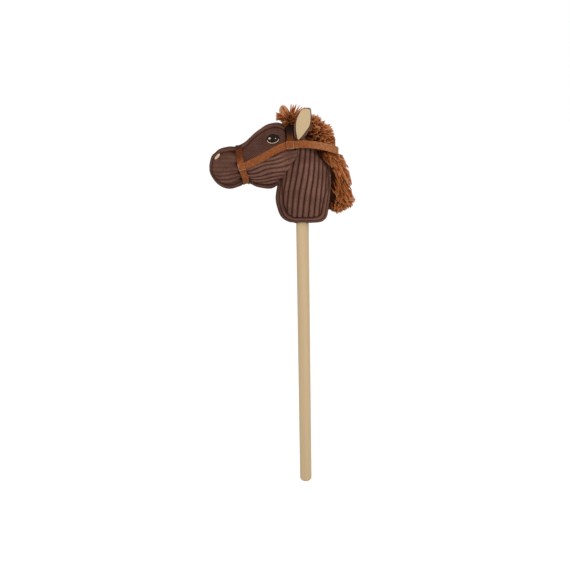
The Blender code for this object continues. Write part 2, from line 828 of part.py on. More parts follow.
def make_ears(parts, finishes, forms):
    """The ears: a corduroy shell and a cream lining on each, sewn into the seam behind the face.

    Their seat is the neck's side one cloth below their base, so that they clear it as they flop.
    """
    base = cheek_point(EAR_BASE)
    neck = Surface(forms["neck"])
    foot_half = EAR_STATIONS[0][2]
    under = base.z - EAR_CLOTH
    seat = max(neck.half_width(base.x + dx, under) for dx in (-foot_half, 0.0, foot_half)) + GAP
    rows = smooth_rows(EAR_STATIONS, EAR_STEPS)
    height = EAR_STATIONS[-1][0]

    def leaf(border):
        def place(u, v):
            rise = border + (height - 2 * border) * v
            middle = np.interp(rise, rows[:, 0], rows[:, 1])
            half = np.interp(rise, rows[:, 0], rows[:, 2]) - border * min(1.0, v / EAR_BORDER_RUN)
            across = 2 * u - 1
            cup = EAR_CUP * across**2 * math.sin(math.pi * min(1.0, rise / height))
            half_width = seat + cup - rise * math.tan(EAR_LEAN)
            return base.x + middle + across * max(half, EAR_TIP), half_width, base.z + rise

        return place

    for side, name in SIDES:
        shell = laid_sheet(
            "ear_" + name, parts, finishes["corduroy"], side, leaf(0.0), EAR_GRID, 0.0, EAR_CLOTH
        )
        lining = laid_sheet(
            "ear_lining_" + name,
            parts,
            finishes["lining"],
            side,
            leaf(EAR_BORDER),
            EAR_LINING_GRID,
            EAR_CLOTH + GAP,
            EAR_LINING,
        )
        for piece in (shell, lining):
            put_origin(piece, Vector((base.x, side * seat, base.z)))


def almond(centre, length, height, tilt, face, low=-1.0, high=1.0, reach=1.0):
    """place(u, v) for a patch with drawn-out ends, on the side of a form."""

    def place(u, v):
        a = (2 * u - 1) * reach
        half = height / 2 * (ALMOND_END + (1 - ALMOND_END) * math.cos(math.pi * a / 2))
        b = half * (low + (high - low) * v)
        along = a * length / 2
        x = centre[0] + along * math.cos(tilt) - b * math.sin(tilt)
        z = centre[1] + along * math.sin(tilt) + b * math.cos(tilt)
        point = cheek_point((x, z))
        return point.x, face.half_width(point.x, point.z), point.z

    return place


def make_embroidery(parts, finishes, forms):
    """The stitched eyes, dark with a cream line under them, and the cream nostrils."""
    face = Surface(forms["head"])
    eye = almond(EYE_CENTRE, EYE_LENGTH, EYE_HEIGHT, EYE_TILT, face)
    line = almond(
        EYE_CENTRE, EYE_LENGTH, EYE_HEIGHT, EYE_TILT, face, EYE_LINE[0], EYE_LINE[1], EYE_LINE_REACH
    )
    nostril = almond(NOSTRIL_CENTRE, NOSTRIL_LENGTH, NOSTRIL_HEIGHT, NOSTRIL_TILT, face)
    line_lift = EMBROIDERY_LIFT + EMBROIDERY + GAP
    patches = (
        ("eye_", "dark_thread", eye, EYE_GRID, EMBROIDERY_LIFT),
        ("eye_line_", "thread", line, EYE_LINE_GRID, line_lift),
        ("nostril_", "thread", nostril, NOSTRIL_GRID, EMBROIDERY_LIFT),
    )
    for side, name in SIDES:
        for kind, thread, place, size, lift in patches:
            laid_sheet(kind + name, parts, finishes[thread], side, place, size, lift, EMBROIDERY)


def make_tape(parts, finishes):
    """The cotton tape that the mane's yarn is sewn to, along the crest of the neck."""
    crest = [
        Vector((row[2], NECK_FOOT + row[0]))
        for row in smooth_rows(NECK_STATIONS, NECK_STEPS)
        if TAPE_LOW <= row[0] <= TAPE_HIGH
    ]
    inner = []
    outer = []
    for i, point in enumerate(crest):
        along = crest[min(i + 1, len(crest) - 1)] - crest[max(i - 1, 0)]
        away = Vector((along.y, -along.x)).normalized()
        inner.append(point + away * TAPE_SEAT)
        outer.append(point + away * (TAPE_SEAT + TAPE))
    outline = [tuple(p) for p in inner + outer[::-1]]
    tape = standing_outline("mane_tape", outline, TAPE_WIDTH / 2, parts, finishes["tape"], "XZ")
    return curve_to_mesh(tape, finishes["tape"])


def make_mane(parts, guides, finishes, forms, tape, crown):
    """The yarn as plain soft bodies: four along the crest and the forelock on the poll."""
    yarn = finishes["yarn"]
    around_tape = as_guide(settle(grow(copy_of(tape, "around_tape", guides), 2 * GAP)))
    around_crown = as_guide(settle(grow(copy_of(crown, "around_crown", guides), 2 * GAP)))
    around_crown.matrix_world = crown.matrix_world
    around_tape.matrix_world = tape.matrix_world

    # Everything that the rein's loop leaves free when it is lifted
    inner = REIN_HALF_WIDTH
    start = REIN_REACH - STRAP / 2 - inner
    arc = rein_bend(start, REIN_REACH - STRAP / 2 - MANE_CLEARANCE, inner, ARCH_STEPS)
    profile = [(0.0, inner), *arc[::-1], (0.0, -inner)]
    swept = as_guide(turned("inside_the_rein", profile, guides))
    swept.location = CHEEK
    swept.rotation_euler = (math.pi / 2, 0.0, 0.0)
    settle(swept)

    rows = flat_rows(MANE_STATIONS)
    under_rein = REIN_LOW_EDGE - MANE_CLEARANCE
    levels = {
        "mane_poll": (MANE_POLL_FROM, FAR, True),
        "mane_upper": (under_rein, MANE_POLL_FROM, True),
        "mane_middle": (MANE_LOWER_FROM, under_rein, False),
        "mane_lower": (-FAR, MANE_LOWER_FROM, False),
    }
    for name, (low, high, inside_rein) in levels.items():
        form = form_from(rows, cheek_section, MANE_SIDES, MANE_STEPS)
        lock = mesh_object(name, form, parts, yarn)
        level = as_guide(
            box(
                name + "_level",
                (-FAR, -FAR, CHEEK.z + low + GAP / 2),
                (FAR, FAR, CHEEK.z + high - GAP / 2),
                guides,
            )
        )
        boolean(lock, level, "INTERSECT")
        if inside_rein:
            boolean(lock, swept, "INTERSECT")
        boolean(lock, forms["neck_around"], "DIFFERENCE")
        boolean(lock, around_tape, "DIFFERENCE")

    shape = bmesh.new()
    bmesh.ops.create_uvsphere(
        shape, u_segments=FORELOCK_SEGMENTS, v_segments=FORELOCK_RINGS, radius=0.5
    )
    bmesh.ops.scale(shape, vec=FORELOCK_SIZE, verts=shape.verts)
    forelock = mesh_object("forelock", shape, parts, yarn)
    forelock.location = cheek_point(FORELOCK_CENTRE)
    for other in (forms["head_around"], forms["neck_around"], around_crown):
        boolean(forelock, other, "DIFFERENCE")


def build():
    remove_everything()
    parts = make_collection("hobby_horse")
    guides = make_collection("cutters")
    finishes = {
        "corduroy": material("brown_corduroy", CORDUROY, 0.95),
        "leather": material("tan_imitation_leather", LEATHER, 0.5),
        "lining": material("cream_cotton", LINING, 0.9),
        "yarn": material("rust_yarn", YARN, 0.9),
        "wood": material("pale_wood", WOOD, 0.6),
        "filling": material("polyester_filling", FILLING, 1.0),
        "thread": material("cream_thread", THREAD, 0.7),
        "dark_thread": material("dark_thread", DARK_THREAD, 0.7),
        "tape": material("cotton_tape", TAPE_COTTON, 0.95),
        "steel": material("steel", STEEL, 0.35, 1.0),
        "nylon": material("white_nylon", NYLON, 0.5),
    }
    forms = make_guides(guides)
    stick = make_stick(parts, finishes)
    make_fixing(parts, guides, finishes, stick)
    make_stuffing(parts, finishes, forms)
    make_covers(parts, finishes, forms)
    crown = make_straps(parts, guides, finishes, forms)
    make_rein(parts, guides, finishes)
    make_ears(parts, finishes, forms)
    make_embroidery(parts, finishes, forms)
    tape = make_tape(parts, finishes)
    make_mane(parts, guides, finishes, forms, tape, crown)


build()
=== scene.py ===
import math

import bmesh
import bpy
import numpy as np
from mathutils import Matrix


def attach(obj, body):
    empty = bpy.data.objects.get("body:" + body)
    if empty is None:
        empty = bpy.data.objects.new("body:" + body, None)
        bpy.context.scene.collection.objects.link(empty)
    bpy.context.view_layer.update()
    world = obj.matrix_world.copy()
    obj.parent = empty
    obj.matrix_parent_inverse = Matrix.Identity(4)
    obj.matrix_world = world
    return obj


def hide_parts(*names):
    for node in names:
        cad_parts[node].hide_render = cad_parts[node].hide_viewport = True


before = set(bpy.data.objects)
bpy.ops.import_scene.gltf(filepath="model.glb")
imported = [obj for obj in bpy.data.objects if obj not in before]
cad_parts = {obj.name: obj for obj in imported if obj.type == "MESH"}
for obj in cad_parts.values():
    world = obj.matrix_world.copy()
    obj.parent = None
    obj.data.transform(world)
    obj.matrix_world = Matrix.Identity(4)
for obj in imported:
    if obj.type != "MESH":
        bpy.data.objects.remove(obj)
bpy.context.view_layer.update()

# The camera stands a little over a metre in front of the horse's left side, at the height of its
# cheek. It looks down by 14.3 degrees and is rolled by a degree, as the photograph is.
FRAME_PIXELS = 570
FOCAL_PIXELS = 657.0
CAMERA_PLACE = (-0.03675, -1.2816, 0.7647)
CAMERA_TILT = math.radians(75.7)
CAMERA_ROLL = math.radians(-1.175)
camera_lens = bpy.data.cameras.new("camera")
camera_lens.sensor_width = 36.0
camera_lens.lens = 36.0 * FOCAL_PIXELS / FRAME_PIXELS
camera = bpy.data.objects.new("camera", camera_lens)
bpy.context.scene.collection.objects.link(camera)
camera.matrix_world = (
    Matrix.Translation(CAMERA_PLACE)
    @ Matrix.Rotation(CAMERA_TILT, 4, "X") @ Matrix.Rotation(CAMERA_ROLL, 4, "Z")
)
bpy.context.scene.camera = camera
bpy.context.scene.view_settings.view_transform = "Standard"


# The studio: a white sky that lights from all round, one broad lamp from the front right and one
# weaker lamp from the front left. Both are as large as windows, so that shadows stay soft.
def fill(tree, made, inputs):
    """Sets a node's inputs: numbers and colours as values, other nodes' outputs as links."""
    for key, value in inputs.items():
        if isinstance(value, bpy.types.NodeSocket):
            tree.links.new(value, made.inputs[key])
        else:
            made.inputs[key].default_value = value
    return made


def node(tree, kind, inputs=None, **settings):
    """Adds a shader node with its settings and inputs."""
    made = tree.nodes.new(kind)
    for field, value in settings.items():
        setattr(made, field, value)
    return fill(tree, made, inputs or {})


def remapped(tree, value, low=0.0, high=1.0, to_low=0.0, to_high=1.0):
    """A value that runs from low to high, carried over to run from to_low to to_high."""
    return node(tree, "ShaderNodeMapRange", {0: value, 1: low, 2: high, 3: to_low, 4: to_high}).outputs[0]


def seen_directly(tree):
    """1 for a ray from the camera, off a mirror or through glass, and 0 for any other."""
    path = node(tree, "ShaderNodeLightPath").outputs
    seen = path["Is Camera Ray"]
    for kind in ("Is Glossy Ray", "Is Transmission Ray"):
        seen = node(tree, "ShaderNodeMath", {0: seen, 1: path[kind]}, operation="MAXIMUM").outputs[0]
    return seen


SKY_LIGHT = 0.62
sky = bpy.data.worlds.new("sky")
sky.use_nodes = True
bpy.context.scene.world = sky
sky.node_tree.nodes.clear()
strength = remapped(sky.node_tree, seen_directly(sky.node_tree), to_low=SKY_LIGHT)
white = node(sky.node_tree, "ShaderNodeBackground", {"Color": (1.0, 1.0, 1.0, 1.0), "Strength": strength})
node(sky.node_tree, "ShaderNodeOutputWorld", {"Surface": white.outputs[0]})

LAMPS = (
    ("lamp_right", (0.95, -1.50, 1.75), 1.1, 17.0),
    ("lamp_left", (-1.30, -1.30, 1.30), 1.2, 6.5),
)
LAMPS_AIM = (0.0, 0.0, 0.62)
for name, place, width, power in LAMPS:
    light = bpy.data.lights.new(name, "AREA")
    light.size = width
    light.energy = power
    lamp = bpy.data.objects.new(name, light)
    bpy.context.scene.collection.objects.link(lamp)
    aim = np.array(LAMPS_AIM) - np.array(place)
    turn = math.atan2(aim[1], aim[0]) - math.pi / 2
    tip = math.atan2(aim[2], math.hypot(aim[0], aim[1])) + math.pi / 2
    lamp.matrix_world = (
        Matrix.Translation(place) @ Matrix.Rotation(turn, 4, "Z") @ Matrix.Rotation(tip, 4, "X")
    )

# The floor is a pale sheet of paper that runs far out under the stick's foot. What glows in it is
# for the camera alone, and the thin matt part keeps the shadow.
FLOOR_REACH = 30.0
paper = bpy.data.materials.new("paper")
paper.use_nodes = True
paper.node_tree.nodes.clear()
matt = node(paper.node_tree, "ShaderNodeBsdfDiffuse", {"Color": (0.80, 0.80, 0.80, 1.0)})
pale = node(paper.node_tree, "ShaderNodeBsdfDiffuse", {"Color": (0.20, 0.20, 0.20, 1.0)})
glow = node(paper.node_tree, "ShaderNodeEmission", {"Color": (1.0, 1.0, 1.0, 1.0), "Strength": 0.93})
lit = node(paper.node_tree, "ShaderNodeAddShader", {0: pale.outputs[0], 1: glow.outputs[0]})
either = node(
    paper.node_tree, "ShaderNodeMixShader",
    {0: seen_directly(paper.node_tree), 1: matt.outputs[0], 2: lit.outputs[0]},
)
node(paper.node_tree, "ShaderNodeOutputMaterial", {"Surface": either.outputs[0]})
sheet = bpy.data.meshes.new("floor")
corners = [(x * FLOOR_REACH, y * FLOOR_REACH, -0.0002) for x, y in ((-1, -1), (1, -1), (1, 1), (-1, 1))]
sheet.from_pydata(corners, [], [(0, 1, 2, 3)])
sheet.materials.append(paper)
floor = bpy.data.objects.new("floor", sheet)
bpy.context.scene.collection.objects.link(floor)


# The stick is a turned round of pale wood, 25 mm thick, with a domed foot. It is sanded, and its
# thin finish lets the grain show as faint long lines.
def patches(*parts):
    """Joins parts (points, faces, values), where values holds one array a name for the points."""
    points = np.concatenate([part[0] for part in parts])
    starts = np.cumsum([0] + [len(part[0]) for part in parts[:-1]])
    faces = [tuple(int(i) + start for i in face) for part, start in zip(parts, starts) for face in part[1]]
    names = parts[0][2].keys()
    values = {name: np.concatenate([part[2][name] for part in parts]) for name in names}
    return points, faces, values


def grid(points, round_rows=False, round_columns=False, cap_rows=False, inside=None, **values):
    """Quads over a grid of points, closed on itself where told, with flat ends where told.

    The faces point away from the inside point.
    """
    rows, columns = points.shape[:2]
    index = np.arange(rows * columns).reshape(rows, columns)
    if round_rows:
        index = np.vstack((index, index[:1]))
    if round_columns:
        index = np.hstack((index, index[:, :1]))
    faces = np.stack((index[:-1, :-1], index[1:, :-1], index[1:, 1:], index[:-1, 1:]), -1).reshape(-1, 4)
    flat = points.reshape(-1, 3)
    corner = flat[faces]
    normal = np.cross(corner[:, 2] - corner[:, 0], corner[:, 3] - corner[:, 1])
    away = corner.mean(axis=1) - (flat.mean(axis=0) if inside is None else np.asarray(inside))
    turned = np.sum(normal * away) < 0
    faces = faces.tolist()
    if cap_rows:
        faces.append(index[0, :columns].tolist())
        faces.append(index[-1, :columns].tolist()[::-1])
    if turned:
        faces = [face[::-1] for face in faces]
    return flat, faces, {name: np.broadcast_to(v, (rows, columns)).reshape(-1) for name, v in values.items()}


def piece(name, part, finish, body="horse", weld=None):
    """An object of one part, which rides on a body. Its values become attributes of its points."""
    points, faces, values = part
    mesh = bpy.data.meshes.new(name)
    mesh.from_pydata(points.tolist(), [], faces)
    for key, value in values.items():
        mesh.attributes.new(key, "FLOAT", "POINT").data.foreach_set("value", value.astype(np.float32))
    if weld:
        shape = bmesh.new()
        shape.from_mesh(mesh)
        bmesh.ops.remove_doubles(shape, verts=shape.verts, dist=weld)
        shape.to_mesh(mesh)
        shape.free()
    mesh.shade_smooth()
    mesh.materials.append(finish)
    made = bpy.data.objects.new(name, mesh)
    bpy.context.scene.collection.objects.link(made)
    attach(made, body)
    return made


def mixed(tree, factor, first, second, blend_type="MIX"):
    """Two colours mixed by a factor."""
    return node(
        tree, "ShaderNodeMix", {0: factor, 6: first, 7: second}, data_type="RGBA", blend_type=blend_type
    ).outputs[2]


def mottle_group():
    """Uneven colour: a stretched noise on Object coordinates mixes two colours."""
    tree = bpy.data.node_groups.new("mottle", "ShaderNodeTree")
    for name, kind, value in (
        ("Light", "NodeSocketColor", (0.8, 0.8, 0.8, 1.0)),
        ("Dark", "NodeSocketColor", (0.4, 0.4, 0.4, 1.0)),
        ("Size", "NodeSocketFloat", 100.0),
        ("Stretch", "NodeSocketVector", (1.0, 1.0, 1.0)),
        ("Contrast", "NodeSocketFloat", 1.0),
    ):
        tree.interface.new_socket(name, in_out="INPUT", socket_type=kind).default_value = value
    tree.interface.new_socket("Colour", in_out="OUTPUT", socket_type="NodeSocketColor")
    tree.interface.new_socket("Height", in_out="OUTPUT", socket_type="NodeSocketFloat")
    given = node(tree, "NodeGroupInput").outputs
    place = node(tree, "ShaderNodeTexCoord")
    drawn = node(
        tree, "ShaderNodeVectorMath", {0: place.outputs["Object"], 1: given["Stretch"]},
        operation="MULTIPLY",
    )
    noise = node(
        tree, "ShaderNodeTexNoise",
        {"Vector": drawn.outputs[0], "Scale": given["Size"], "Detail": 4.0, "Roughness": 0.6},
    )
    centred = node(tree, "ShaderNodeMath", {0: noise.outputs["Fac"], 1: 0.5}, operation="SUBTRACT")
    spread = node(
        tree, "ShaderNodeMath", {0: centred.outputs[0], 1: given["Contrast"], 2: 0.5},
        operation="MULTIPLY_ADD", use_clamp=True,
    )
    both = mixed(tree, spread.outputs[0], given["Dark"], given["Light"])
    node(tree, "NodeGroupOutput", {"Colour": both, "Height": noise.outputs["Fac"]})
    return tree


mottle = mottle_group()


def new_material(name):
    """A new material, and its node tree with one Principled shader in it."""
    made = bpy.data.materials.new(name)
    made.use_nodes = True
    return made, made.node_tree


def mottled(tree, light, dark, size, contrast, stretch=(1.0, 1.0, 1.0)):
    """The mottle group's outputs for one material."""
    return node(
        tree, "ShaderNodeGroup",
        {"Light": (*light, 1.0), "Dark": (*dark, 1.0), "Size": size, "Stretch": stretch,
         "Contrast": contrast},
        node_tree=mottle,
    ).outputs


def finished(made, tree, colour, height, bump, bump_height, looks):
    """The material, once its colour, its bump from a height, and its other looks are set."""
    relief = node(tree, "ShaderNodeBump", {"Strength": bump, "Distance": bump_height, "Height": height})
    given = {"Base Color": colour, "Normal": relief.outputs["Normal"], **looks}
    fill(tree, tree.nodes["Principled BSDF"], given)
    return made


def plain_finish(name, light, dark, size, roughness, stretch=(1.0, 1.0, 1.0), contrast=1.4,
                 bump=0.2, bump_height=0.0002, metallic=0.0):
    """A material whose colour and bump come from the mottle group."""
    made, tree = new_material(name)
    uneven = mottled(tree, light, dark, size, contrast, stretch)
    looks = {"Roughness": roughness, "Metallic": metallic}
    return finished(made, tree, uneven["Colour"], uneven["Height"], bump, bump_height, looks)


def circle(count):
    """Angles evenly round a circle."""
    return np.linspace(0, 2 * math.pi, count, endpoint=False)


NECK_FOOT = 0.564
STICK_RADIUS = 0.0125
STICK_TOP = 0.694
STICK_BEVEL = 0.0015
STICK_SIDES = 48
STICK_RINGS = 110
STICK_PROFILE = (
    (0.0, 0.0), (0.0030, 0.0), (0.0050, 0.0), (0.0075, 0.00055), (0.0100, 0.0020),
    (0.0117, 0.0039), (0.0125, 0.0066), (0.0125, 0.0100),
)
rise = np.linspace(0.016, STICK_TOP - STICK_BEVEL, STICK_RINGS)
rows = np.vstack((
    STICK_PROFILE, np.column_stack((np.full(STICK_RINGS, STICK_RADIUS), rise)),
    ((STICK_RADIUS - STICK_BEVEL, STICK_TOP), (0.0, STICK_TOP)),
))
angle = circle(STICK_SIDES)
radius = np.maximum(rows[:, :1], 0.00001)
height = np.broadcast_to(rows[:, 1:], (len(rows), STICK_SIDES))
turned_points = np.stack((radius * np.cos(angle), radius * np.sin(angle), height), -1)
wood = plain_finish(
    "wood", (0.665, 0.495, 0.290), (0.540, 0.380, 0.205), 95.0, roughness=0.55,
    stretch=(1.0, 1.0, 0.035), contrast=1.3, bump=0.25,
)
stick = piece("round_stick", grid(turned_points, round_columns=True, cap_rows=True), wood)
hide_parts("stick")


# Inside the neck a moulded cap keeps the stick's end from working through the filling. A cotton
# sleeve, a tie and four tacks hold the neck's mouth to the stick. Their shapes are the solids'.
def dress(finish, *names):
    """Gives solids of the frame a finish."""
    for name in names:
        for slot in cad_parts[name].material_slots:
            slot.material = finish


nylon = plain_finish("nylon", (0.82, 0.82, 0.80), (0.74, 0.74, 0.72), 300.0, roughness=0.42)
steel = plain_finish(
    "tack_steel", (0.60, 0.60, 0.61), (0.46, 0.46, 0.47), 900.0, roughness=0.34, metallic=1.0
)
tape_cotton = plain_finish(
    "tape_cotton", (0.095, 0.048, 0.030), (0.055, 0.026, 0.016), 1400.0, roughness=0.95, bump=0.5
)
dress(nylon, "stick_cap", "neck_tie")
dress(steel, "tack_1", "tack_2", "tack_3", "tack_4")
dress(tape_cotton, "neck_sleeve")


# The neck is a bag of brown jumbo corduroy: two sides with upright cords, and one strip that runs
# down the front, under the foot and up the back. It is turned, filled hard and drawn to the stick.
def run_through(rows, at):
    """A Catmull-Rom curve through rows of numbers, read at places counted in rows."""
    rows = np.asarray(rows, dtype=float)
    ends = np.vstack((2 * rows[0] - rows[1], rows, 2 * rows[-1] - rows[-2]))
    first = np.clip(np.floor(at).astype(int), 0, len(rows) - 2)
    t = (at - first)[..., None]
    a, b, c, d = (ends[first + k] for k in range(4))
    return 0.5 * (2 * b + (c - a) * t + (2 * a - 5 * b + 4 * c - d) * t**2 + (3 * b - a - 3 * c + d) * t**3)


FULLNESS = 2.1
SIDES = (("left", -1), ("right", 1))


def squarer(wave, power):
    """A sine or cosine raised to a power under 1, which keeps its sign: it makes a ring squarer."""
    return np.sign(wave) * np.abs(wave) ** power


def stuffed(rows, steps, across, side):
    """Points of a stuffed form between its outline and the middle of its side.

    Each row holds a point of the outline, the point of the middle line behind it, the half width
    there and the seam's distance from the middle plane. Both points are joined by a quarter of a
    superellipse. A side panel (side -1 or 1) runs from the seam to the middle line, and the strip
    (side 0) from seam to seam over the outline, and a little under both panels.
    """
    at = np.linspace(0, len(rows) - 1, (len(rows) - 1) * steps + 1)
    reading = run_through(rows, at)
    first = np.minimum(at.astype(int), len(rows) - 2)
    shared = np.all(rows[first, 2:] == rows[first + 1, 2:], axis=1)
    reading[shared, 2:] = rows[first[shared], 2:]
    out_x, out_z, mid_x, mid_z, half, seam = reading.T[:, :, None]
    half = np.maximum(half, 0.00002)
    seam_angle = np.arcsin(np.minimum(1.0, seam / half) ** (FULLNESS / 2))
    if side:
        v = np.linspace(0, 1, across)[None, :]
        turn = seam_angle + (math.pi / 2 - seam_angle) * v
    else:
        v = np.linspace(-1.04, 1.04, across)[None, :]
        turn = seam_angle * v
    reach = np.clip(np.cos(turn), 0, 1) ** (2 / FULLNESS)
    y = half * squarer(np.sin(turn), 2 / FULLNESS) * (side or 1)
    return np.stack((mid_x + (out_x - mid_x) * reach, y, mid_z + (out_z - mid_z) * reach), -1)


def outward(points, side, centre):
    """Unit normals of a grid, away from its centre. A pole takes the side's own direction."""
    down = np.gradient(points, axis=0)
    over = np.gradient(points, axis=1)
    normal = np.cross(down, over)
    size = np.linalg.norm(normal, axis=-1, keepdims=True)
    flip = np.sign(np.sum(normal * (points - centre)))
    straight = np.broadcast_to((0.0, float(side or 1), 0.0), points.shape)
    normal = np.where(size > 1e-11, flip * normal / np.maximum(size, 1e-12), straight)
    if side:
        middle = (normal[:, -1] + normal[::-1, -1]) / 2
        same = np.linalg.norm(np.diff(points[:, -1], axis=0), axis=-1) < 1e-6
        middle[np.append(same, False) | np.append(False, same)] = (0.0, side, 0.0)
        normal[:, -1] = middle / np.linalg.norm(middle, axis=-1, keepdims=True)
    return normal


def seam_distance(points, side):
    """How far each point lies from its nearest seam, measured over the surface."""
    step = np.linalg.norm(np.diff(points, axis=1), axis=-1)
    run = np.concatenate((np.zeros((len(points), 1)), np.cumsum(step, axis=1)), axis=1)
    if side:
        return run
    return np.minimum(run, run[:, -1:] - run)


def ripple(points, size, seed):
    """A smooth uneven value from -1 to 1: a mean of seven sine waves in seeded directions."""
    rng = np.random.default_rng(seed)
    waves = rng.normal(size=(7, 3)) * 2 * math.pi / size / 1.6
    shift = rng.uniform(0, 2 * math.pi, 7)
    return np.sin(points @ waves.T + shift).mean(axis=-1) * 1.6


CORD_PITCH = 0.0110
CORD_DEPTH = 0.0023


def cord_profile(count):
    """A cord's height: 0 in its narrow groove and 1 on its broad crown, once for each count."""
    return np.abs(np.sin(math.pi * count)) ** 0.85


def corded(points, side, centre, count, depth, bulge):
    """Raises the cords on a grid and draws the cloth in along its seams, where the lowered cords also paint
    shade.
    """
    normal = outward(points, side, centre)
    seam = seam_distance(points, side)
    cord = cord_profile(count)
    near = np.exp(-((seam / 0.0030) ** 2))
    # Lowering the cords near the seams also darkens the colour there: painted shade along the seams.
    cord = cord * (1 - 0.75 * near)
    pull = 0.0015 * near * (1.0 + 0.45 * ripple(points, 0.012, 5))
    tucked = 0.0008 * np.exp(-((seam / 0.0012) ** 2)) * (side == 0)
    lift = depth * (cord - 1) - pull - tucked + bulge + 0.0005 * ripple(points, 0.030, 8)
    return points + normal * lift[..., None], np.clip(cord, 0, 1)


def carried(tree, name):
    """A value that a piece's points carry."""
    return node(tree, "ShaderNodeAttribute", attribute_name=name).outputs["Fac"]


def pattern(tree, kind, size, **inputs):
    """A pattern on a piece's own coordinates."""
    place = node(tree, "ShaderNodeTexCoord").outputs["Object"]
    return node(tree, kind, {"Vector": place, "Scale": size, **inputs}).outputs


def brightened(tree, colour, factor):
    """A colour times a factor."""
    return node(tree, "ShaderNodeVectorMath", {0: colour, "Scale": factor}, operation="SCALE").outputs[0]


def graded(tree, value, *steps):
    """Colours along a value from 0 to 1. Each step is a place, and the colour there."""
    made = node(tree, "ShaderNodeValToRGB", {"Fac": value})
    for place, colour in steps[1:-1]:
        made.color_ramp.elements.new(place)
    for element, (place, colour) in zip(made.color_ramp.elements, steps):
        element.position = place
        element.color = (*colour, 1.0)
    return made.outputs["Color"]


def corduroy_material():
    """Brown pile: pale on the crowns and dark red-brown in the grooves, with fine uneven pile. The grooves'
    dark is partly the ground weave's own colour and partly painted shade.

    A value that the points carry paints light and shade: it makes the pile lighter where the lamps light it
    and darker where shade falls.
    """
    made, tree = new_material("corduroy")
    pile = mottled(tree, (0.245, 0.124, 0.090), (0.105, 0.046, 0.032), size=420.0, contrast=1.5)
    broad = pattern(tree, "ShaderNodeTexNoise", 38.0, Detail=3.0)["Fac"]
    worn = remapped(tree, broad, 0.3, 0.7, 0.74, 1.18)
    # Painted light and shade from the points, added to the pile's random wear.
    laid = node(tree, "ShaderNodeMath", {0: carried(tree, "nap"), 1: worn}, operation="ADD").outputs[0]
    # The cord value mixes in the grooves' near-black colour: partly the ground weave's own colour, and partly
    # painted shade in the grooves, along the seams and in folds.
    crown = graded(tree, carried(tree, "cord"), (0.16, (0.0, 0.0, 0.0)), (0.94, (1.0, 1.0, 1.0)))
    colour = mixed(
        tree, crown, (0.040, 0.0115, 0.0075, 1.0), brightened(tree, pile["Colour"], laid)
    )
    return finished(made, tree, colour, pile["Height"], 0.7, 0.0006, {
        "Roughness": 0.95, "Specular IOR Level": 0.04, "Sheen Weight": 0.12, "Sheen Roughness": 0.5,
        "Sheen Tint": (0.55, 0.30, 0.20, 1.0),
    })


corduroy = corduroy_material()

# Height above the foot, front, back, half width
NECK_STATIONS = (
    (0.0000, -0.0175, 0.0315, 0.0170),
    (0.0035, -0.0295, 0.0420, 0.0205),
    (0.0120, -0.0412, 0.0488, 0.0255),
    (0.0270, -0.0480, 0.0522, 0.0345),
    (0.0480, -0.0520, 0.0556, 0.0420),
    (0.0760, -0.0478, 0.0580, 0.0460),
    (0.1010, -0.0435, 0.0560, 0.0460),
    (0.1220, -0.0405, 0.0462, 0.0445),
    (0.1410, -0.0370, 0.0300, 0.0415),
    (0.1600, -0.0310, 0.0150, 0.0380),
    (0.1750, -0.0230, 0.0040, 0.0290),
    (0.1830, -0.0150, -0.0040, 0.0130),
)
NECK_SEAM = 0.025
FOOT_SEAM = 0.029
FOOT_MIDDLE = (0.00125, 0.048, 0.042, FOOT_SEAM)
NECK_CROWN = (-0.0095, 0.1842)
upright = NECK_STATIONS[5:]
neck_front = [(front, rise, (front + back) / 2, rise, half, NECK_SEAM) for rise, front, back, half in upright]
neck_back = [(back, rise, (front + back) / 2, rise, half, NECK_SEAM) for rise, front, back, half in upright]
foot_front = [(front, rise, *FOOT_MIDDLE) for rise, front, back, half in NECK_STATIONS[4::-1]]
foot_back = [(back, rise, *FOOT_MIDDLE) for rise, front, back, half in NECK_STATIONS[:5]]
crown_end = [(*NECK_CROWN, *NECK_CROWN, 0.0, NECK_SEAM)]
neck_rows = np.array(
    crown_end + neck_front[::-1] + foot_front + [(0.0060, -0.0002, *FOOT_MIDDLE)]
    + foot_back + neck_back + crown_end
)
neck_rows[:, (1, 3)] += NECK_FOOT
NECK_CENTRE = np.array((0.002, 0.0, NECK_FOOT + 0.090))
CORD_LEAN = math.tan(math.radians(9.5))
CORD_ROUND = 0.0565
CORD_START = 0.50
STRIP_PITCH = 0.0085


def blend(value, low, high):
    """A smooth step from 0 below low to 1 above high."""
    t = np.clip((value - low) / (high - low), 0, 1)
    return t * t * (3 - 2 * t)


def mouth_pleats(points):
    """Small pleats that run out from the stick, where the tie draws the cloth in."""
    radius = np.hypot(points[..., 0], points[..., 1])
    angle = np.arctan2(points[..., 1], points[..., 0])
    near = np.exp(-np.maximum(radius - STICK_RADIUS, 0) / 0.009) * (points[..., 2] < NECK_FOOT + 0.02)
    return near * 0.0013 * np.cos(13 * angle + 1.3 * np.sin(2 * angle))


def cover(name, points, centre, cord, nap, *solids):
    """One piece of cloth of the stuffed cover, which stands for these solids."""
    made = piece(name, grid(points, inside=centre, cord=cord, nap=nap), corduroy, weld=0.00002)
    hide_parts(*solids)


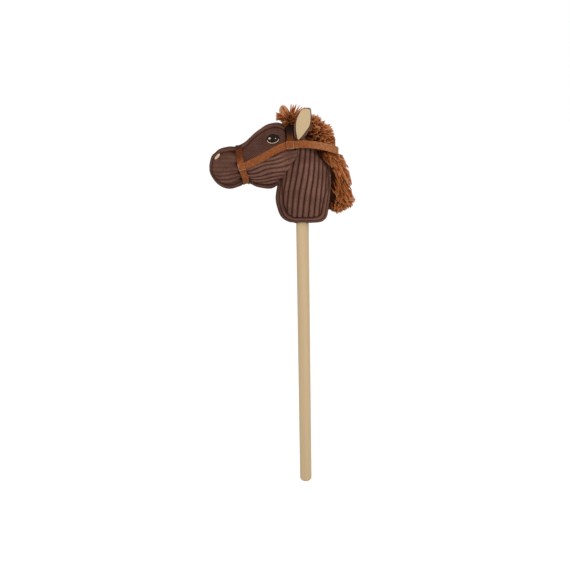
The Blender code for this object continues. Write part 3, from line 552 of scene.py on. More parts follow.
for name, side, *solids in (
    ("neck_side_left", -1, "neck_panel_left"),
    ("neck_side_right", 1, "neck_panel_right"),
    ("neck_strip", 0, "neck_gusset", "neck_stuffing"),
):
    points = stuffed(neck_rows, steps=14, across=64, side=side)
    x, rise = points[..., 0], points[..., 2] - NECK_FOOT
    if side:
        lean = CORD_LEAN * (1 - 0.55 * blend(x, 0.0, 0.05))
        fall = rise - 0.065
        off = x - lean * (fall - 0.35 * np.minimum(fall, 0)) + 0.0008 * np.sin(rise / 0.024 + x * 30)
        count = CORD_ROUND * np.arcsin(np.clip(off / CORD_ROUND, -0.995, 0.995)) / CORD_PITCH + CORD_START
    else:
        count = points[..., 1] / STRIP_PITCH + 0.5
    # Painted light and shade: the back half of the neck is drawn lighter and its top darker.
    nap = 0.20 * blend(x, -0.020, 0.012) - 0.10 - 0.26 * blend(rise, 0.105, 0.150)
    raised, cord = corded(points, side, NECK_CENTRE, count, CORD_DEPTH, mouth_pleats(points))
    cover(name, raised, NECK_CENTRE, cord, nap, *solids)

# The head is sewn in the same way and pushed over the neck's top: two sides, and a strip that
# starts behind the forehead, goes round the nose and ends under the jaw. Places are from the cheek.
CHEEK = np.array((-0.022, 0.0, 0.715))
HEAD_STATIONS = (
    ((0.0160, -0.0030), (0.0160, -0.0200), 0.0140),
    ((0.0100, 0.0080), (0.0100, -0.0320), 0.0300),
    ((-0.0020, 0.0240), (-0.0030, -0.0520), 0.0390),
    ((-0.0120, 0.0370), (-0.0190, -0.0720), 0.0420),
    ((-0.0270, 0.0410), (-0.0330, -0.0820), 0.0435),
    ((-0.0460, 0.0360), (-0.0460, -0.0830), 0.0430),
    ((-0.0660, 0.0230), (-0.0620, -0.0800), 0.0405),
    ((-0.0840, 0.0072), (-0.0780, -0.0750), 0.0370),
    ((-0.0960, 0.0004), (-0.0870, -0.0722), 0.0345),
    ((-0.1050, -0.0003), (-0.0960, -0.0768), 0.0350),
    ((-0.1180, -0.0020), (-0.1130, -0.0820), 0.0355),
    ((-0.1340, -0.0050), (-0.1276, -0.0809), 0.0330),
    ((-0.1428, -0.0120), (-0.1396, -0.0733), 0.0290),
    ((-0.1503, -0.0190), (-0.1492, -0.0620), 0.0220),
    ((-0.1549, -0.0340), (-0.1548, -0.0510), 0.0090),
)
HEAD_SEAM = 0.022
MUZZLE_FROM = 12
head_table = np.array([(*top, *foot, half) for top, foot, half in HEAD_STATIONS])
middle = (head_table[:, :2] + head_table[:, 2:4]) / 2
muzzle = (*middle[MUZZLE_FROM - 1], head_table[MUZZLE_FROM - 1, 4], HEAD_SEAM)
over = [(*row[:2], *mid, row[4], HEAD_SEAM) for row, mid in zip(head_table[:MUZZLE_FROM], middle)]
under = [(*row[2:4], *mid, row[4], HEAD_SEAM) for row, mid in zip(head_table[:MUZZLE_FROM], middle)]
nose = [(*row[:2], *muzzle) for row in head_table[MUZZLE_FROM:]] + [(-0.1556, -0.0425, *muzzle)]
chin = [(*row[2:4], *muzzle) for row in head_table[MUZZLE_FROM:]]
rear_end = [(0.0185, -0.0115, 0.0185, -0.0115, 0.0, HEAD_SEAM)]
head_rows = np.array(rear_end + over + nose + chin[::-1] + under[::-1] + rear_end)
head_rows[:, (0, 2)] += CHEEK[0]
head_rows[:, (1, 3)] += CHEEK[2]
HEAD_CENTRE = CHEEK + (-0.070, 0.0, -0.030)
NOSEBAND_TOP = np.array((-0.1030, -0.0020))
NOSEBAND_FOOT = np.array((-0.0824, -0.0735))
CHEEK_STRAP_ROUTE = (
    (-0.0890, -0.0383), (-0.0815, -0.0352), (-0.0570, -0.0245), (-0.0370, -0.0137), (-0.0190, -0.0048),
    (-0.0030, 0.0), (0.0065, 0.0),
)


def behind_noseband(x, z):
    """How far a place lies behind the noseband's middle, square to it."""
    up = (NOSEBAND_TOP - NOSEBAND_FOOT) / np.linalg.norm(NOSEBAND_TOP - NOSEBAND_FOOT)
    return (x - NOSEBAND_FOOT[0]) * up[1] - (z - NOSEBAND_FOOT[1]) * up[0]


def above_cheek_strap(x, z):
    """How far a place lies above the cheek strap's middle."""
    route = np.array(CHEEK_STRAP_ROUTE)
    first = route[0] - (route[1] - route[0]) * 2
    return z - np.interp(x, [first[0], *route[:, 0]], [first[1], *route[:, 1]])


JOWL = (
    (-0.0250, -0.0800), (-0.0225, -0.0745), (-0.0160, -0.0655), (-0.0090, -0.0530), (-0.0020, -0.0420),
    (0.0070, -0.0315), (0.0140, -0.0180), (0.0165, -0.0080), (0.0160, 0.0),
)
CHEEK_PITCH = 0.0086
FACE_PITCH = 0.0047
MUZZLE_PITCH = 0.0078
CHEEK_SLOPE = math.radians(14)


def behind_jowl(x, z):
    """How far a place lies behind the rounded edge of the cheek, where the head is sewn down."""
    line = run_through(JOWL, np.linspace(0, len(JOWL) - 1, 90))
    return x - np.interp(z, line[:, 1], line[:, 0])


def jowl_lift(points, x, z, rest):
    """How much the cheek's rear edge must rise to stand over the neck, in a rounded lip."""
    back = behind_jowl(x, z)
    lip = 0.0014 + 0.0028 * np.sqrt(np.clip(-back / 0.007, 0, 1)) - 0.0060 * blend(back, 0.0, 0.0025)
    near = blend(back, -0.030, -0.008) * blend(-z, 0.003, 0.012) * blend(z, -0.080, -0.066)
    return near * np.maximum(0, rest + lip - np.abs(points[..., 1]))


neck_reading = run_through(NECK_STATIONS, np.linspace(0, len(NECK_STATIONS) - 1, 1101))


def girth(share):
    """A ring's half width as a share of its widest, from the middle (0) to the outline (1)."""
    return (1 - np.minimum(share, 1) ** FULLNESS) ** (1 / FULLNESS)


def neck_half(x, z):
    """The neck's half width at places from the cheek, from the ring at that height."""
    rise = z + CHEEK[2] - NECK_FOOT
    front, back, half = (np.interp(rise, neck_reading[:, 0], neck_reading[:, k]) for k in (1, 2, 3))
    w = np.abs((x + CHEEK[0] - (front + back) / 2) / ((back - front) / 2))
    inside = (rise > 0) & (rise < 0.183)
    return inside * half * girth(w)


for name, side, *solids in (
    ("head_side_left", -1, "head_panel_left"),
    ("head_side_right", 1, "head_panel_right"),
    ("head_strip", 0, "face_gusset", "head_stuffing"),
):
    points = stuffed(head_rows, steps=13, across=64 if side else 52, side=side)
    x = points[..., 0] - CHEEK[0]
    z = points[..., 2] - CHEEK[2]
    behind = behind_noseband(x, z)
    low = blend(-z, 0.030, 0.062)
    # The noseband draws the cloth in, and fine folds run out from both its edges
    tight = 0.0007 + 0.0012 * np.clip((z + 0.037) / 0.036, -1, 1) ** 2
    bulge = -tight * np.exp(-((behind / 0.008) ** 2)) + 0.0008 * np.exp(-(((behind - 0.014) / 0.007) ** 2))
    around = np.arctan2(points[..., 1], z + 0.037)
    crease = (0.5 - 0.5 * np.cos(12 * around + 1.5 * np.sin(3 * around) + 0.6)) ** 2
    folds = crease * np.exp(-np.maximum(np.abs(behind) - 0.0065, 0) / 0.006)
    bulge = bulge - folds * (0.0012 + 0.0018 * low) * (1 + 0.5 * (behind < 0))
    # Painted shade: the top of the muzzle, in front of the noseband, is drawn darker.
    nap = -0.06 - 0.10 * blend(z, -0.030, -0.012) * blend(-behind, 0.0, 0.01)
    if side:
        # Three runs of cords: the muzzle's, the cheek's, and fine ones over the face
        points[..., 1] += side * jowl_lift(points, x, z, neck_half(x, z))
        wave = 0.0016 * np.sin(x / 0.011 + z * 90) + 0.0012 * np.sin(x / 0.023 - z * 160)
        slope = CHEEK_SLOPE - math.radians(12) * blend(-z, 0.045, 0.080)
        lower = (z * math.cos(CHEEK_SLOPE) - x * np.sin(slope) + wave) / CHEEK_PITCH
        seam = seam_distance(points, side)
        upper = (seam + 0.5 * wave) / FACE_PITCH - 0.1
        bow = 6.0 * (x + 0.126) ** 2 * low
        muzzle_count = (z - bow + 0.4 * wave) / MUZZLE_PITCH
        above = blend(above_cheek_strap(x, z), -0.004, 0.004)
        rear = blend(behind, -0.004, 0.004)
        count = muzzle_count * (1 - rear) + rear * (upper * above + lower * (1 - above))
        fine = 0.42 + 0.45 * np.exp(-((seam / 0.015) ** 2))
        flattened = 0.45 * blend(x, -0.024, -0.004) * blend(z, -0.040, -0.018)
        coarse = 0.80 + 0.30 * ripple(points, 0.028, 3) - flattened
        depth = CORD_DEPTH * (
            (1 - rear) * (0.20 + 0.40 * low) + rear * (coarse * (1 - above) + fine * above)
        )
        # Painted light and shade behind the noseband: a pool of light low on the cheek, the cheek under its
        # strap drawn lighter and the face above it darker.
        bright = np.exp(-(((x + 0.018) / 0.030) ** 2) - ((z + 0.038) / 0.017) ** 2)
        nap = nap + rear * (0.20 * bright * (1 - above) + 0.17 * (1 - above) - 0.15 * above)
    else:
        count = points[..., 1] / STRIP_PITCH + 0.5
        depth = CORD_DEPTH * 0.62
    raised, cord = corded(points, side, HEAD_CENTRE, count, depth, bulge)
    soft = np.clip(depth / CORD_DEPTH, 0, 1)
    # The colour is drawn darker in the folds by the noseband and along the seams: painted shade.
    seam_shade = np.exp(-((seam_distance(points, side) / 0.0014) ** 2))
    cord = ((1 - soft) * 0.62 + soft * cord) * (1 - 0.75 * np.clip(folds, 0, 1)) * (1 - 0.5 * seam_shade)
    cover(name, raised, HEAD_CENTRE, cord, nap, *solids)


# The eyes are satin stitch: upright black-brown threads side by side over an almond, a cream line
# under them and two small cream lights. The nostrils are cream satin stitch.
station_reading = run_through(head_table, np.linspace(0, len(head_table) - 1, 1121))


def head_half(x, z):
    """The head's half width at places from the cheek: the station through the place, then its ring."""
    place = np.stack((x, z), -1).reshape(-1, 2)
    top, foot, half = station_reading[:, :2], station_reading[:, 2:4], station_reading[:, 4]
    mid, up = (top + foot) / 2, (top - foot) / 2
    gap = place[:, None] - mid
    off = (gap[..., 0] * up[:, 1] - gap[..., 1] * up[:, 0]) / np.hypot(*up.T)
    best = np.clip(np.argmin(np.abs(off), axis=1), 0, len(half) - 2)
    row = np.arange(len(place))
    a, b = off[row, best], off[row, best + 1]
    t = np.clip(np.where(np.abs(a - b) > 1e-9, a / np.where(a == b, 1.0, a - b), 0), -1, 1)[:, None]
    mid = mid[best] * (1 - t) + mid[best + 1] * t
    up = up[best] * (1 - t) + up[best + 1] * t
    width = half[best] * (1 - t[:, 0]) + half[best + 1] * t[:, 0]
    w = np.abs(np.sum((place - mid) * up, axis=1)) / np.sum(up * up, axis=1)
    return (width * girth(w)).reshape(np.shape(x))


def from_cheek(x, y, z):
    """Points from their places along, across and up, counted from the cheek."""
    return CHEEK + np.stack(np.broadcast_arrays(x, y, z), -1)


def tubes(paths, radii, sides, **values):
    """Round threads along many paths at once: rings square to each path, with pointed closed ends.

    paths is (threads, steps, 3), and radii and each value are (threads, steps).
    """
    count, steps = paths.shape[:2]
    along = np.gradient(paths, axis=1)
    along /= np.maximum(np.linalg.norm(along, axis=-1, keepdims=True), 1e-9)
    mean = along.mean(axis=1, keepdims=True)
    level = np.abs(mean[..., 2:]) < 0.8
    guide = np.where(level, np.array((0.0, 0.0, 1.0)), np.array((1.0, 0.0, 0.0)))
    first = np.cross(along, np.broadcast_to(guide, along.shape))
    first /= np.maximum(np.linalg.norm(first, axis=-1, keepdims=True), 1e-9)
    second = np.cross(first, along)
    turn = 2 * math.pi * np.arange(sides) / sides
    ring = (
        np.cos(turn)[:, None] * first[:, :, None, :] + np.sin(turn)[:, None] * second[:, :, None, :]
    )
    rings = paths[:, :, None, :] + radii[:, :, None, None] * ring
    index = np.arange(count * steps * sides).reshape(count, steps, sides)
    ahead = np.roll(index, -1, axis=2)
    quads = np.stack((index[:, :-1], ahead[:, :-1], ahead[:, 1:], index[:, 1:]), -1).reshape(-1, 4)
    start = count * steps * sides + np.arange(count)[:, None]
    finish = start + count
    foot = np.stack((ahead[:, 0], index[:, 0], np.broadcast_to(start, (count, sides))), -1).reshape(-1, 3)
    tip = np.stack((index[:, -1], ahead[:, -1], np.broadcast_to(finish, (count, sides))), -1).reshape(-1, 3)
    points = np.concatenate((rings.reshape(-1, 3), paths[:, 0], paths[:, -1]))
    spread = {
        key: np.concatenate((np.repeat(value.reshape(-1), sides), value[:, 0], value[:, -1]))
        for key, value in values.items()
    }
    return points, quads.tolist() + foot.tolist() + tip.tolist(), spread


def stitches(starts, ends, side, lift, arch, radius, steps=9, rest=head_half):
    """Threads from start to end places on the horse's side, each a low arch over the cloth."""
    t = np.linspace(0, 1, steps)[None, :, None]
    place = starts[:, None] * (1 - t) + ends[:, None] * t
    rise = lift + arch * (4 * t * (1 - t))[..., 0] ** 0.5
    y = rest(place[..., 0], place[..., 1]) + rise
    paths = from_cheek(place[..., 0], side * y, place[..., 1])
    thickness = radius * (0.35 + 0.65 * (4 * t * (1 - t))[..., 0] ** 0.4)
    return tubes(paths, np.broadcast_to(thickness, paths.shape[:2]), 6)


def turned_place(centre, along, across, tilt):
    """Places round a centre, given along and across a tilted line."""
    x = centre[0] + along * math.cos(tilt) - across * math.sin(tilt)
    z = centre[1] + along * math.sin(tilt) + across * math.cos(tilt)
    return np.stack((x, z), -1)


EYE_CENTRE = (-0.0316, 0.0115)
EYE_LENGTH = 0.0262
EYE_HEIGHT = 0.0184
EYE_TILT = math.radians(7.0)
dark_thread = plain_finish(
    "dark_thread", (0.018, 0.009, 0.007), (0.006, 0.003, 0.002), 900.0, roughness=0.75, bump=0.4
)
dark_thread.node_tree.nodes["Principled BSDF"].inputs["Specular IOR Level"].default_value = 0.15
cream_thread = plain_finish(
    "cream_thread", (0.86, 0.67, 0.46), (0.62, 0.44, 0.28), 900.0, roughness=0.6, bump=0.4
)
run = np.linspace(-1, 1, 52)
lid = 0.5 * EYE_HEIGHT * np.maximum(1 - np.abs(run) ** 1.9, 0.006) ** 0.62
brow = turned_place(EYE_CENTRE, run * EYE_LENGTH / 2, lid, EYE_TILT)
base = turned_place(EYE_CENTRE, run * EYE_LENGTH / 2, -lid, EYE_TILT)
below = np.radians(np.linspace(188, 346, 54))
rim_along = np.cos(below) * EYE_LENGTH * 0.415
rim_across = np.sin(below) * EYE_HEIGHT * 0.40
inner = turned_place(EYE_CENTRE, rim_along * 0.97, rim_across * 0.98 + 0.0003, EYE_TILT)
outer = turned_place(EYE_CENTRE, rim_along * 1.03, rim_across * 1.02 - 0.0003, EYE_TILT)
for name, side in SIDES:
    almond = stitches(brow, base, side, lift=0.0003, arch=0.0009, radius=0.00040)
    eye = piece("eye_threads_" + name, almond, dark_thread)
    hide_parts("eye_" + name)
    lights = []
    for along, across, size in ((-0.0060, 0.0020, 0.0038), (0.0050, 0.0004, 0.0018)):
        row = np.linspace(-1, 1, 7) * size * 0.45
        tall = np.sqrt(np.maximum(0, 1 - (row / (size * 0.62)) ** 2)) * size * 0.5
        high = turned_place(EYE_CENTRE, along + row, across + tall, EYE_TILT)
        low = turned_place(EYE_CENTRE, along + row, across - tall, EYE_TILT)
        lights.append(stitches(high, low, side, lift=0.0014, arch=0.0005, radius=0.00032, steps=6))
    rim = stitches(inner, outer, side, lift=0.0012, arch=0.0005, radius=0.00044, steps=6)
    white_line = piece("eye_rim_" + name, patches(rim, *lights), cream_thread)
    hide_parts("eye_line_" + name)

NOSTRIL_CENTRE = (-0.1370, -0.0190)
NOSTRIL_LENGTH = 0.0120
NOSTRIL_HEIGHT = 0.0052
NOSTRIL_TILT = math.radians(44.0)
run = np.linspace(-1, 1, 17)
tall = NOSTRIL_HEIGHT / 2 * (1 - 0.45 * np.abs(run) ** 3)
for name, side in SIDES:
    high = turned_place(NOSTRIL_CENTRE, run * NOSTRIL_LENGTH / 2 + 0.0006, tall, NOSTRIL_TILT)
    low = turned_place(NOSTRIL_CENTRE, run * NOSTRIL_LENGTH / 2 - 0.0006, -tall, NOSTRIL_TILT)
    sewn = stitches(high, low, side, lift=0.0002, arch=0.0007, radius=0.00048)
    nostril = piece("nostril_threads_" + name, sewn, cream_thread)
    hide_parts("nostril_" + name)


# The bridle is 13.5 mm strap of tan imitation leather, cut from one sheet, with a fine pressed
# grain and paler cut edges. The noseband closes round the muzzle and lies snug in its waist.
def leather_material():
    """Tan sheet: a value on its points goes from dark to pale, for each piece's own tone, its paler cut edges
    and painted light and shade; with pressed pores and a fine grain.
    """
    made, tree = new_material("leather")
    tan = graded(
        tree, carried(tree, "tone"),
        (0.0, (0.014, 0.005, 0.003)), (0.22, (0.130, 0.034, 0.010)), (0.50, (0.290, 0.090, 0.029)),
        (1.0, (0.62, 0.30, 0.14)),
    )
    grain = mottled(tree, (1.16, 1.16, 1.16), (0.74, 0.74, 0.74), size=210.0, contrast=2.6)
    pore = remapped(tree, pattern(tree, "ShaderNodeTexVoronoi", 400.0)["Distance"], 0.10, 0.46, 0.50, 1.08)
    colour = brightened(tree, mixed(tree, 1.0, tan, grain["Colour"], "MULTIPLY"), pore)
    height = node(tree, "ShaderNodeMath", {0: pore, 1: grain["Height"]}, operation="ADD").outputs[0]
    looks = {"Roughness": 0.60, "Specular IOR Level": 0.05}
    return finished(made, tree, colour, height, 0.5, 0.0003, looks)


leather = leather_material()
STRAP_WIDTH = 0.0135
STRAP = 0.0014
STRAP_LIFT = 0.0006


def strap_section(width):
    """A flat strap's section as (across, out, pale): rounded edges, and 1 on its cut edges."""
    flat = np.linspace(-1, 1, 9)
    bow = np.linspace(-math.pi / 2, math.pi / 2, 5)[1:-1]
    half = STRAP / 2
    edge = half * 0.6
    run = width / 2 - edge
    top = np.column_stack((flat * run, np.full(9, STRAP), np.zeros(9)))
    low = np.column_stack((-flat * run, np.zeros(9), np.zeros(9)))
    right = np.column_stack((run + edge * np.cos(-bow), half + half * np.sin(-bow), np.ones(3)))
    left = np.column_stack((-run - edge * np.cos(bow), half + half * np.sin(bow), np.ones(3)))
    return np.vstack((top, right, low, left))


up = (NOSEBAND_TOP - NOSEBAND_FOOT) / 2
band_middle = (NOSEBAND_TOP + NOSEBAND_FOOT) / 2
section = strap_section(STRAP_WIDTH)
turn = circle(180)[:, None]
place_x = band_middle[0] + up[1] / np.hypot(*up) * section[:, 0]
rim = run_through(head_table, np.interp(-place_x, -middle[:, 0], np.arange(len(middle))))
rim_mid, rim_up = (rim[:, :2] + rim[:, 2:4]) / 2, (rim[:, :2] - rim[:, 2:4]) / 2
rise = squarer(np.cos(turn), 2 / FULLNESS)
lift = 0.0004 - 0.0012 * rise**2 + section[:, 1]
drawn_back = 0.0028 * np.exp(-(((rise + 0.40) / 0.42) ** 2)) + 0.0031 * blend(-rise, 0.25, 0.70)
turned_up = -0.19 * section[:, 0] * blend(-rise, 0.50, 1.0)
scale = 1 + lift / np.hypot(*rim_up.T)
band_points = from_cheek(
    rim_mid[:, 0] + rim_up[:, 0] * scale * rise + drawn_back,
    (rim[:, 4] + lift) * squarer(np.sin(turn), 2 / FULLNESS),
    rim_mid[:, 1] + rim_up[:, 1] * scale * rise + turned_up,
)
# Painted shade darkens the noseband over the top of the muzzle; its lower half is drawn paler, and its cut
# edges are paler in their own colour.
tone = 0.19 + 0.25 * blend(-rise, -0.55, -0.05) - 0.16 * blend(rise, 0.72, 0.98) + 0.10 * section[None, :, 2]
noseband = piece(
    "muzzle_band",
    grid(band_points, round_rows=True, round_columns=True,
         inside=CHEEK + (band_middle[0], 0.0, band_middle[1]), tone=tone),
    leather,
)
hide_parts("noseband")


# A cheek strap runs on each side from the noseband to the cheek. At its front a square patch is
# sewn over both, and at the cheek a second patch is sewn through the strap and the rein's end.
strap_thread = plain_finish(
    "strap_thread", (0.68, 0.44, 0.27), (0.46, 0.26, 0.14), 900.0, roughness=0.7, bump=0.4
)
BRIDGE_START = -0.0300
JUNCTION_HALF_WIDTH = 0.0432


def side_half(x, z):
    """The half width of what a strap lies on: head or neck, and a bridge over the cheek."""
    rest = np.maximum(head_half(x, z), neck_half(x, z))
    bridge = (JUNCTION_HALF_WIDTH - STRAP_LIFT) * blend(x, BRIDGE_START - 0.006, BRIDGE_START + 0.006)
    return np.maximum(rest, bridge) + 0.0014 * blend(-x, 0.0785, 0.0830)


def laid_strap(route, side, width, lift, tone, pale, steps, rest):
    """A strap laid on the horse's side along a route of places, as a section carried along it."""
    line = run_through(route, np.linspace(0, len(route) - 1, steps))
    along = np.gradient(line, axis=0)
    along /= np.linalg.norm(along, axis=-1, keepdims=True)
    across = np.stack((-along[:, 1], along[:, 0]), -1)
    section = strap_section(width)
    place = line[:, None] + across[:, None] * section[None, :, :1]
    y = rest(place[..., 0], place[..., 1]) + lift + section[None, :, 1]
    points = from_cheek(place[..., 0], side * y, place[..., 1])
    ends = np.zeros(steps)
    ends[[0, -1]] = 1
    value = tone + pale * np.maximum(section[None, :, 2], ends[:, None])
    return grid(points, round_columns=True, cap_rows=True, inside=points.mean(axis=(0, 1)), tone=value)


KEEPER_ROUTE = ((-0.0974, -0.0403), (-0.0914, -0.0385), (-0.0854, -0.0367))
KEEPER_SIZE = 0.0127
TAB_SIZE = 0.0140
TAB_ROUTE = ((-TAB_SIZE / 2, 0.0), (0.0, 0.0), (TAB_SIZE / 2, 0.0))
TAB_HALF_WIDTH = 0.0466
TAB_HEM = TAB_SIZE / 2 - 0.0013


def keeper_rest(x, z):
    """The front patches lie on the noseband, and behind it on the cheek strap's end."""
    return head_half(x, z) + 0.0020 + 0.0016 * blend(x, -0.0930, -0.0885)


def tab_rest(x, z):
    """The cheek patches lie flat on the rein's ends."""
    return np.full(np.shape(x), TAB_HALF_WIDTH)


def hem_stitches(start, end, side, lift, count, rest):
    """Pale stitches in a row from a start to an end place, through a patch's edge."""
    share = (np.arange(count)[:, None] + 0.18) / count
    starts = np.array(start) + (np.array(end) - np.array(start)) * share
    ends = starts + (np.array(end) - np.array(start)) * 0.62 / count
    return stitches(starts, ends, side, lift, arch=0.0005, radius=0.00045, steps=7, rest=rest)


# Piece, solid, route, width, lift, tone, paleness of the cut edges, steps, what it lies on
LAID = (
    ("side_strap_", "cheek_strap_", CHEEK_STRAP_ROUTE, STRAP_WIDTH, STRAP_LIFT, 0.45, 0.10, 90, side_half),
    ("front_patch_", "noseband_keeper_", KEEPER_ROUTE, KEEPER_SIZE, 0.0, 0.50, 0.35, 24, keeper_rest),
    ("cheek_patch_", "strap_tab_", TAB_ROUTE, TAB_SIZE, 0.0, 0.40, 0.40, 20, tab_rest),
)
# Start, end, stitches, what they lie on
HEMS = (
    ((-TAB_HEM, -TAB_HEM), (TAB_HEM, -TAB_HEM), 5, tab_rest),
    ((TAB_HEM, -TAB_HEM), (TAB_HEM, TAB_HEM), 4, tab_rest),
    ((-0.0949, -0.0453), (-0.0841, -0.0421), 4, keeper_rest),
    ((-0.0981, -0.0348), (-0.0950, -0.0451), 4, keeper_rest),
)
for name, side in SIDES:
    for piece_name, solid, route, *laid in LAID:
        made = piece(piece_name + name, laid_strap(route, side, *laid), leather)
        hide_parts(solid + name)
    sewn = [hem_stitches(start, end, side, STRAP - 0.0001, count, rest) for start, end, count, rest in HEMS]
    piece("patch_thread_" + name, patches(*sewn), strap_thread)

# The crown strap goes from cheek to cheek over the poll, behind the forehead and under the
# forelock. Its ends lie between the cheek straps and the head.
CROWN_WIDTH = 0.0125
CROWN_RISE = 0.0360
CROWN_POWER = 2 / 2.5
LEG_ROWS = 8
turn = np.linspace(0, math.pi, 120)[:, None]
section = strap_section(CROWN_WIDTH)
arch_half = JUNCTION_HALF_WIDTH - 0.0003 - STRAP + section[None, :, 1]
arch_y = -squarer(np.cos(turn), CROWN_POWER) * arch_half
arch_z = np.sin(turn) ** CROWN_POWER * (CROWN_RISE + section[None, :, 1])
leg_y = np.ones((LEG_ROWS, 1)) * arch_half
leg_z = np.linspace(-STRAP_WIDTH / 2, 0, LEG_ROWS, endpoint=False)[:, None] * np.ones_like(arch_half)
arch_y = np.vstack((-leg_y, arch_y, leg_y))
arch_z = np.vstack((leg_z, arch_z, leg_z[::-1]))
crown_points = from_cheek(section[None, :, 0], arch_y, arch_z)
# Painted shade: the crown strap is drawn darker as it climbs, to near black over the poll under the forelock.
tone = 0.27 - 0.27 * blend(arch_z, 0.004, 0.027)
crown = piece(
    "poll_strap",
    grid(crown_points, round_columns=True, cap_rows=True, inside=CHEEK + (0, 0, 0.01), tone=tone),
    leather,
)
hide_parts("crown_strap")

# The rein is one closed strap. Its ends are sewn under the cheek patches, and it runs level along
# both sides of the neck and squarely round behind the mane, where it sags a little.
REIN_REACH = 0.0915
REIN_POWER = 2 / 3.0
REIN_INNER = JUNCTION_HALF_WIDTH + STRAP + 0.0003
REIN_ARCH = 0.0112
REIN_SAG = 0.0135
SIDE_ROWS = 40


def rein_height(x):
    """The rein's middle line over the cheek: a low arch along the neck, and a sag at its back."""
    share = np.clip(x / REIN_REACH, 0, 1)
    return REIN_ARCH * share * (1 - share) - REIN_SAG * share**2


rein_middle = REIN_INNER + STRAP / 2
bend = REIN_REACH - rein_middle
straight = np.linspace(-0.0065, bend, SIDE_ROWS, endpoint=False)
turn = np.linspace(0, math.pi, 181)
loop_x = bend + (REIN_REACH - bend) * np.sin(turn) ** REIN_POWER
loop_y = -rein_middle * squarer(np.cos(turn), REIN_POWER)
rein_x = np.concatenate((straight, loop_x, straight[::-1]))
side_y = np.full(SIDE_ROWS, rein_middle)
rein_y = np.concatenate((-side_y, loop_y, side_y))
keep = np.concatenate(([True], np.hypot(np.diff(rein_x), np.diff(rein_y)) > 0.0003))
line = np.column_stack((rein_x, rein_y, rein_height(rein_x)))[keep]
along = np.gradient(line, axis=0)
out = np.column_stack((along[:, 1], -along[:, 0], np.zeros(len(line))))
out /= np.linalg.norm(out, axis=-1, keepdims=True)
section = strap_section(STRAP_WIDTH)
rein_points = (
    CHEEK + line[:, None] + out[:, None] * (section[None, :, 1:2] - STRAP / 2)
    + np.array((0, 0, 1.0)) * section[None, :, :1]
)
# Painted light: the rein is drawn paler round the back of the neck; its paler cut edges are its own colour.
tone = 0.46 + 0.15 * blend(line[:, :1], 0.01, 0.07) + 0.12 * section[None, :, 2]
rein = piece(
    "rein_strap",
    grid(rein_points, round_columns=True, cap_rows=True, inside=CHEEK + (0.03, 0, 0), tone=tone),
    leather, body="rein",
)
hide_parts("rein")


def rein_rest(x, z):
    """The outer face of the rein's ends."""
    return np.full(np.shape(x), rein_middle + STRAP / 2)


sewn = [
    hem_stitches((0.0076, -0.0052), (0.0150, -0.0046), side, lift=0.0, count=3, rest=rein_rest)
    for name, side in SIDES
]
piece("rein_thread", patches(*sewn), strap_thread, body="rein")


# An ear is a leaf of corduroy with a cream cotton lining sewn on its outer face, which leaves a
# narrow brown border. It is sewn to the neck's side by its foot, behind the crown strap.
EAR_BASE = (0.0160, 0.0095)
# Height, middle, half width
EAR_STATIONS = (
    (0.0004, 0.0008, 0.0050),
    (0.0060, 0.0023, 0.0097),
    (0.0126, 0.0046, 0.0129),
    (0.0230, 0.0073, 0.0157),
    (0.0300, 0.0086, 0.0156),
    (0.0370, 0.0102, 0.0144),
    (0.0467, 0.0126, 0.0117),
    (0.0530, 0.0150, 0.0086),
    (0.0568, 0.0172, 0.0046),
)
LINING_STATIONS = (
    (0.0002, -0.0006, 0.0008),
    (0.0016, -0.0001, 0.0020),
    (0.0040, 0.0008, 0.0036),
    (0.0084, 0.0024, 0.0058),
    (0.0170, 0.0050, 0.0098),
    (0.0241, 0.0074, 0.0122),
    (0.0312, 0.0088, 0.0128),
    (0.0383, 0.0101, 0.0122),
    (0.0450, 0.0118, 0.0107),
    (0.0510, 0.0134, 0.0086),
    (0.0550, 0.0144, 0.0055),
)
EAR_SEAT = 0.03819
EAR_CLOTH = 0.0020
EAR_LINING = 0.0012
EAR_CUP = 0.0025
EAR_LEAN = math.tan(math.radians(5.0))
EAR_POWER = 0.77
EAR_ROWS = 70
EAR_AROUND = 56


def ear_leaf(side, stations, lift, thickness):
    """A leaf of cloth: a flat oval section carried up the ear's middle line, cupped and leaning.

    Returns its points and how far each lies across the leaf, from -1 to 1.
    """
    v = np.linspace(0, 1, EAR_ROWS)
    v = 0.5 - 0.5 * np.cos(math.pi * v) * (1 - 0.35 * np.sin(math.pi * v) ** 2)
    rise, mid, half = run_through(stations, v * (len(stations) - 1)).T[:, :, None]
    half = np.maximum(half, 0.0008) * np.minimum(1, np.sqrt(np.clip((1 - v[:, None]) / 0.03, 0, 1)) + 0.12)
    turn = circle(EAR_AROUND)
    across = squarer(np.cos(turn), EAR_POWER)
    out = squarer(np.sin(turn), EAR_POWER)
    cup = EAR_CUP * across**2 * np.sin(math.pi * np.clip(rise / EAR_STATIONS[-1][0], 0, 1))
    y = EAR_SEAT + cup - rise * EAR_LEAN + lift + thickness * (0.5 + 0.5 * out)
    return from_cheek(EAR_BASE[0] + mid + across * half, side * y, EAR_BASE[1] + rise), across


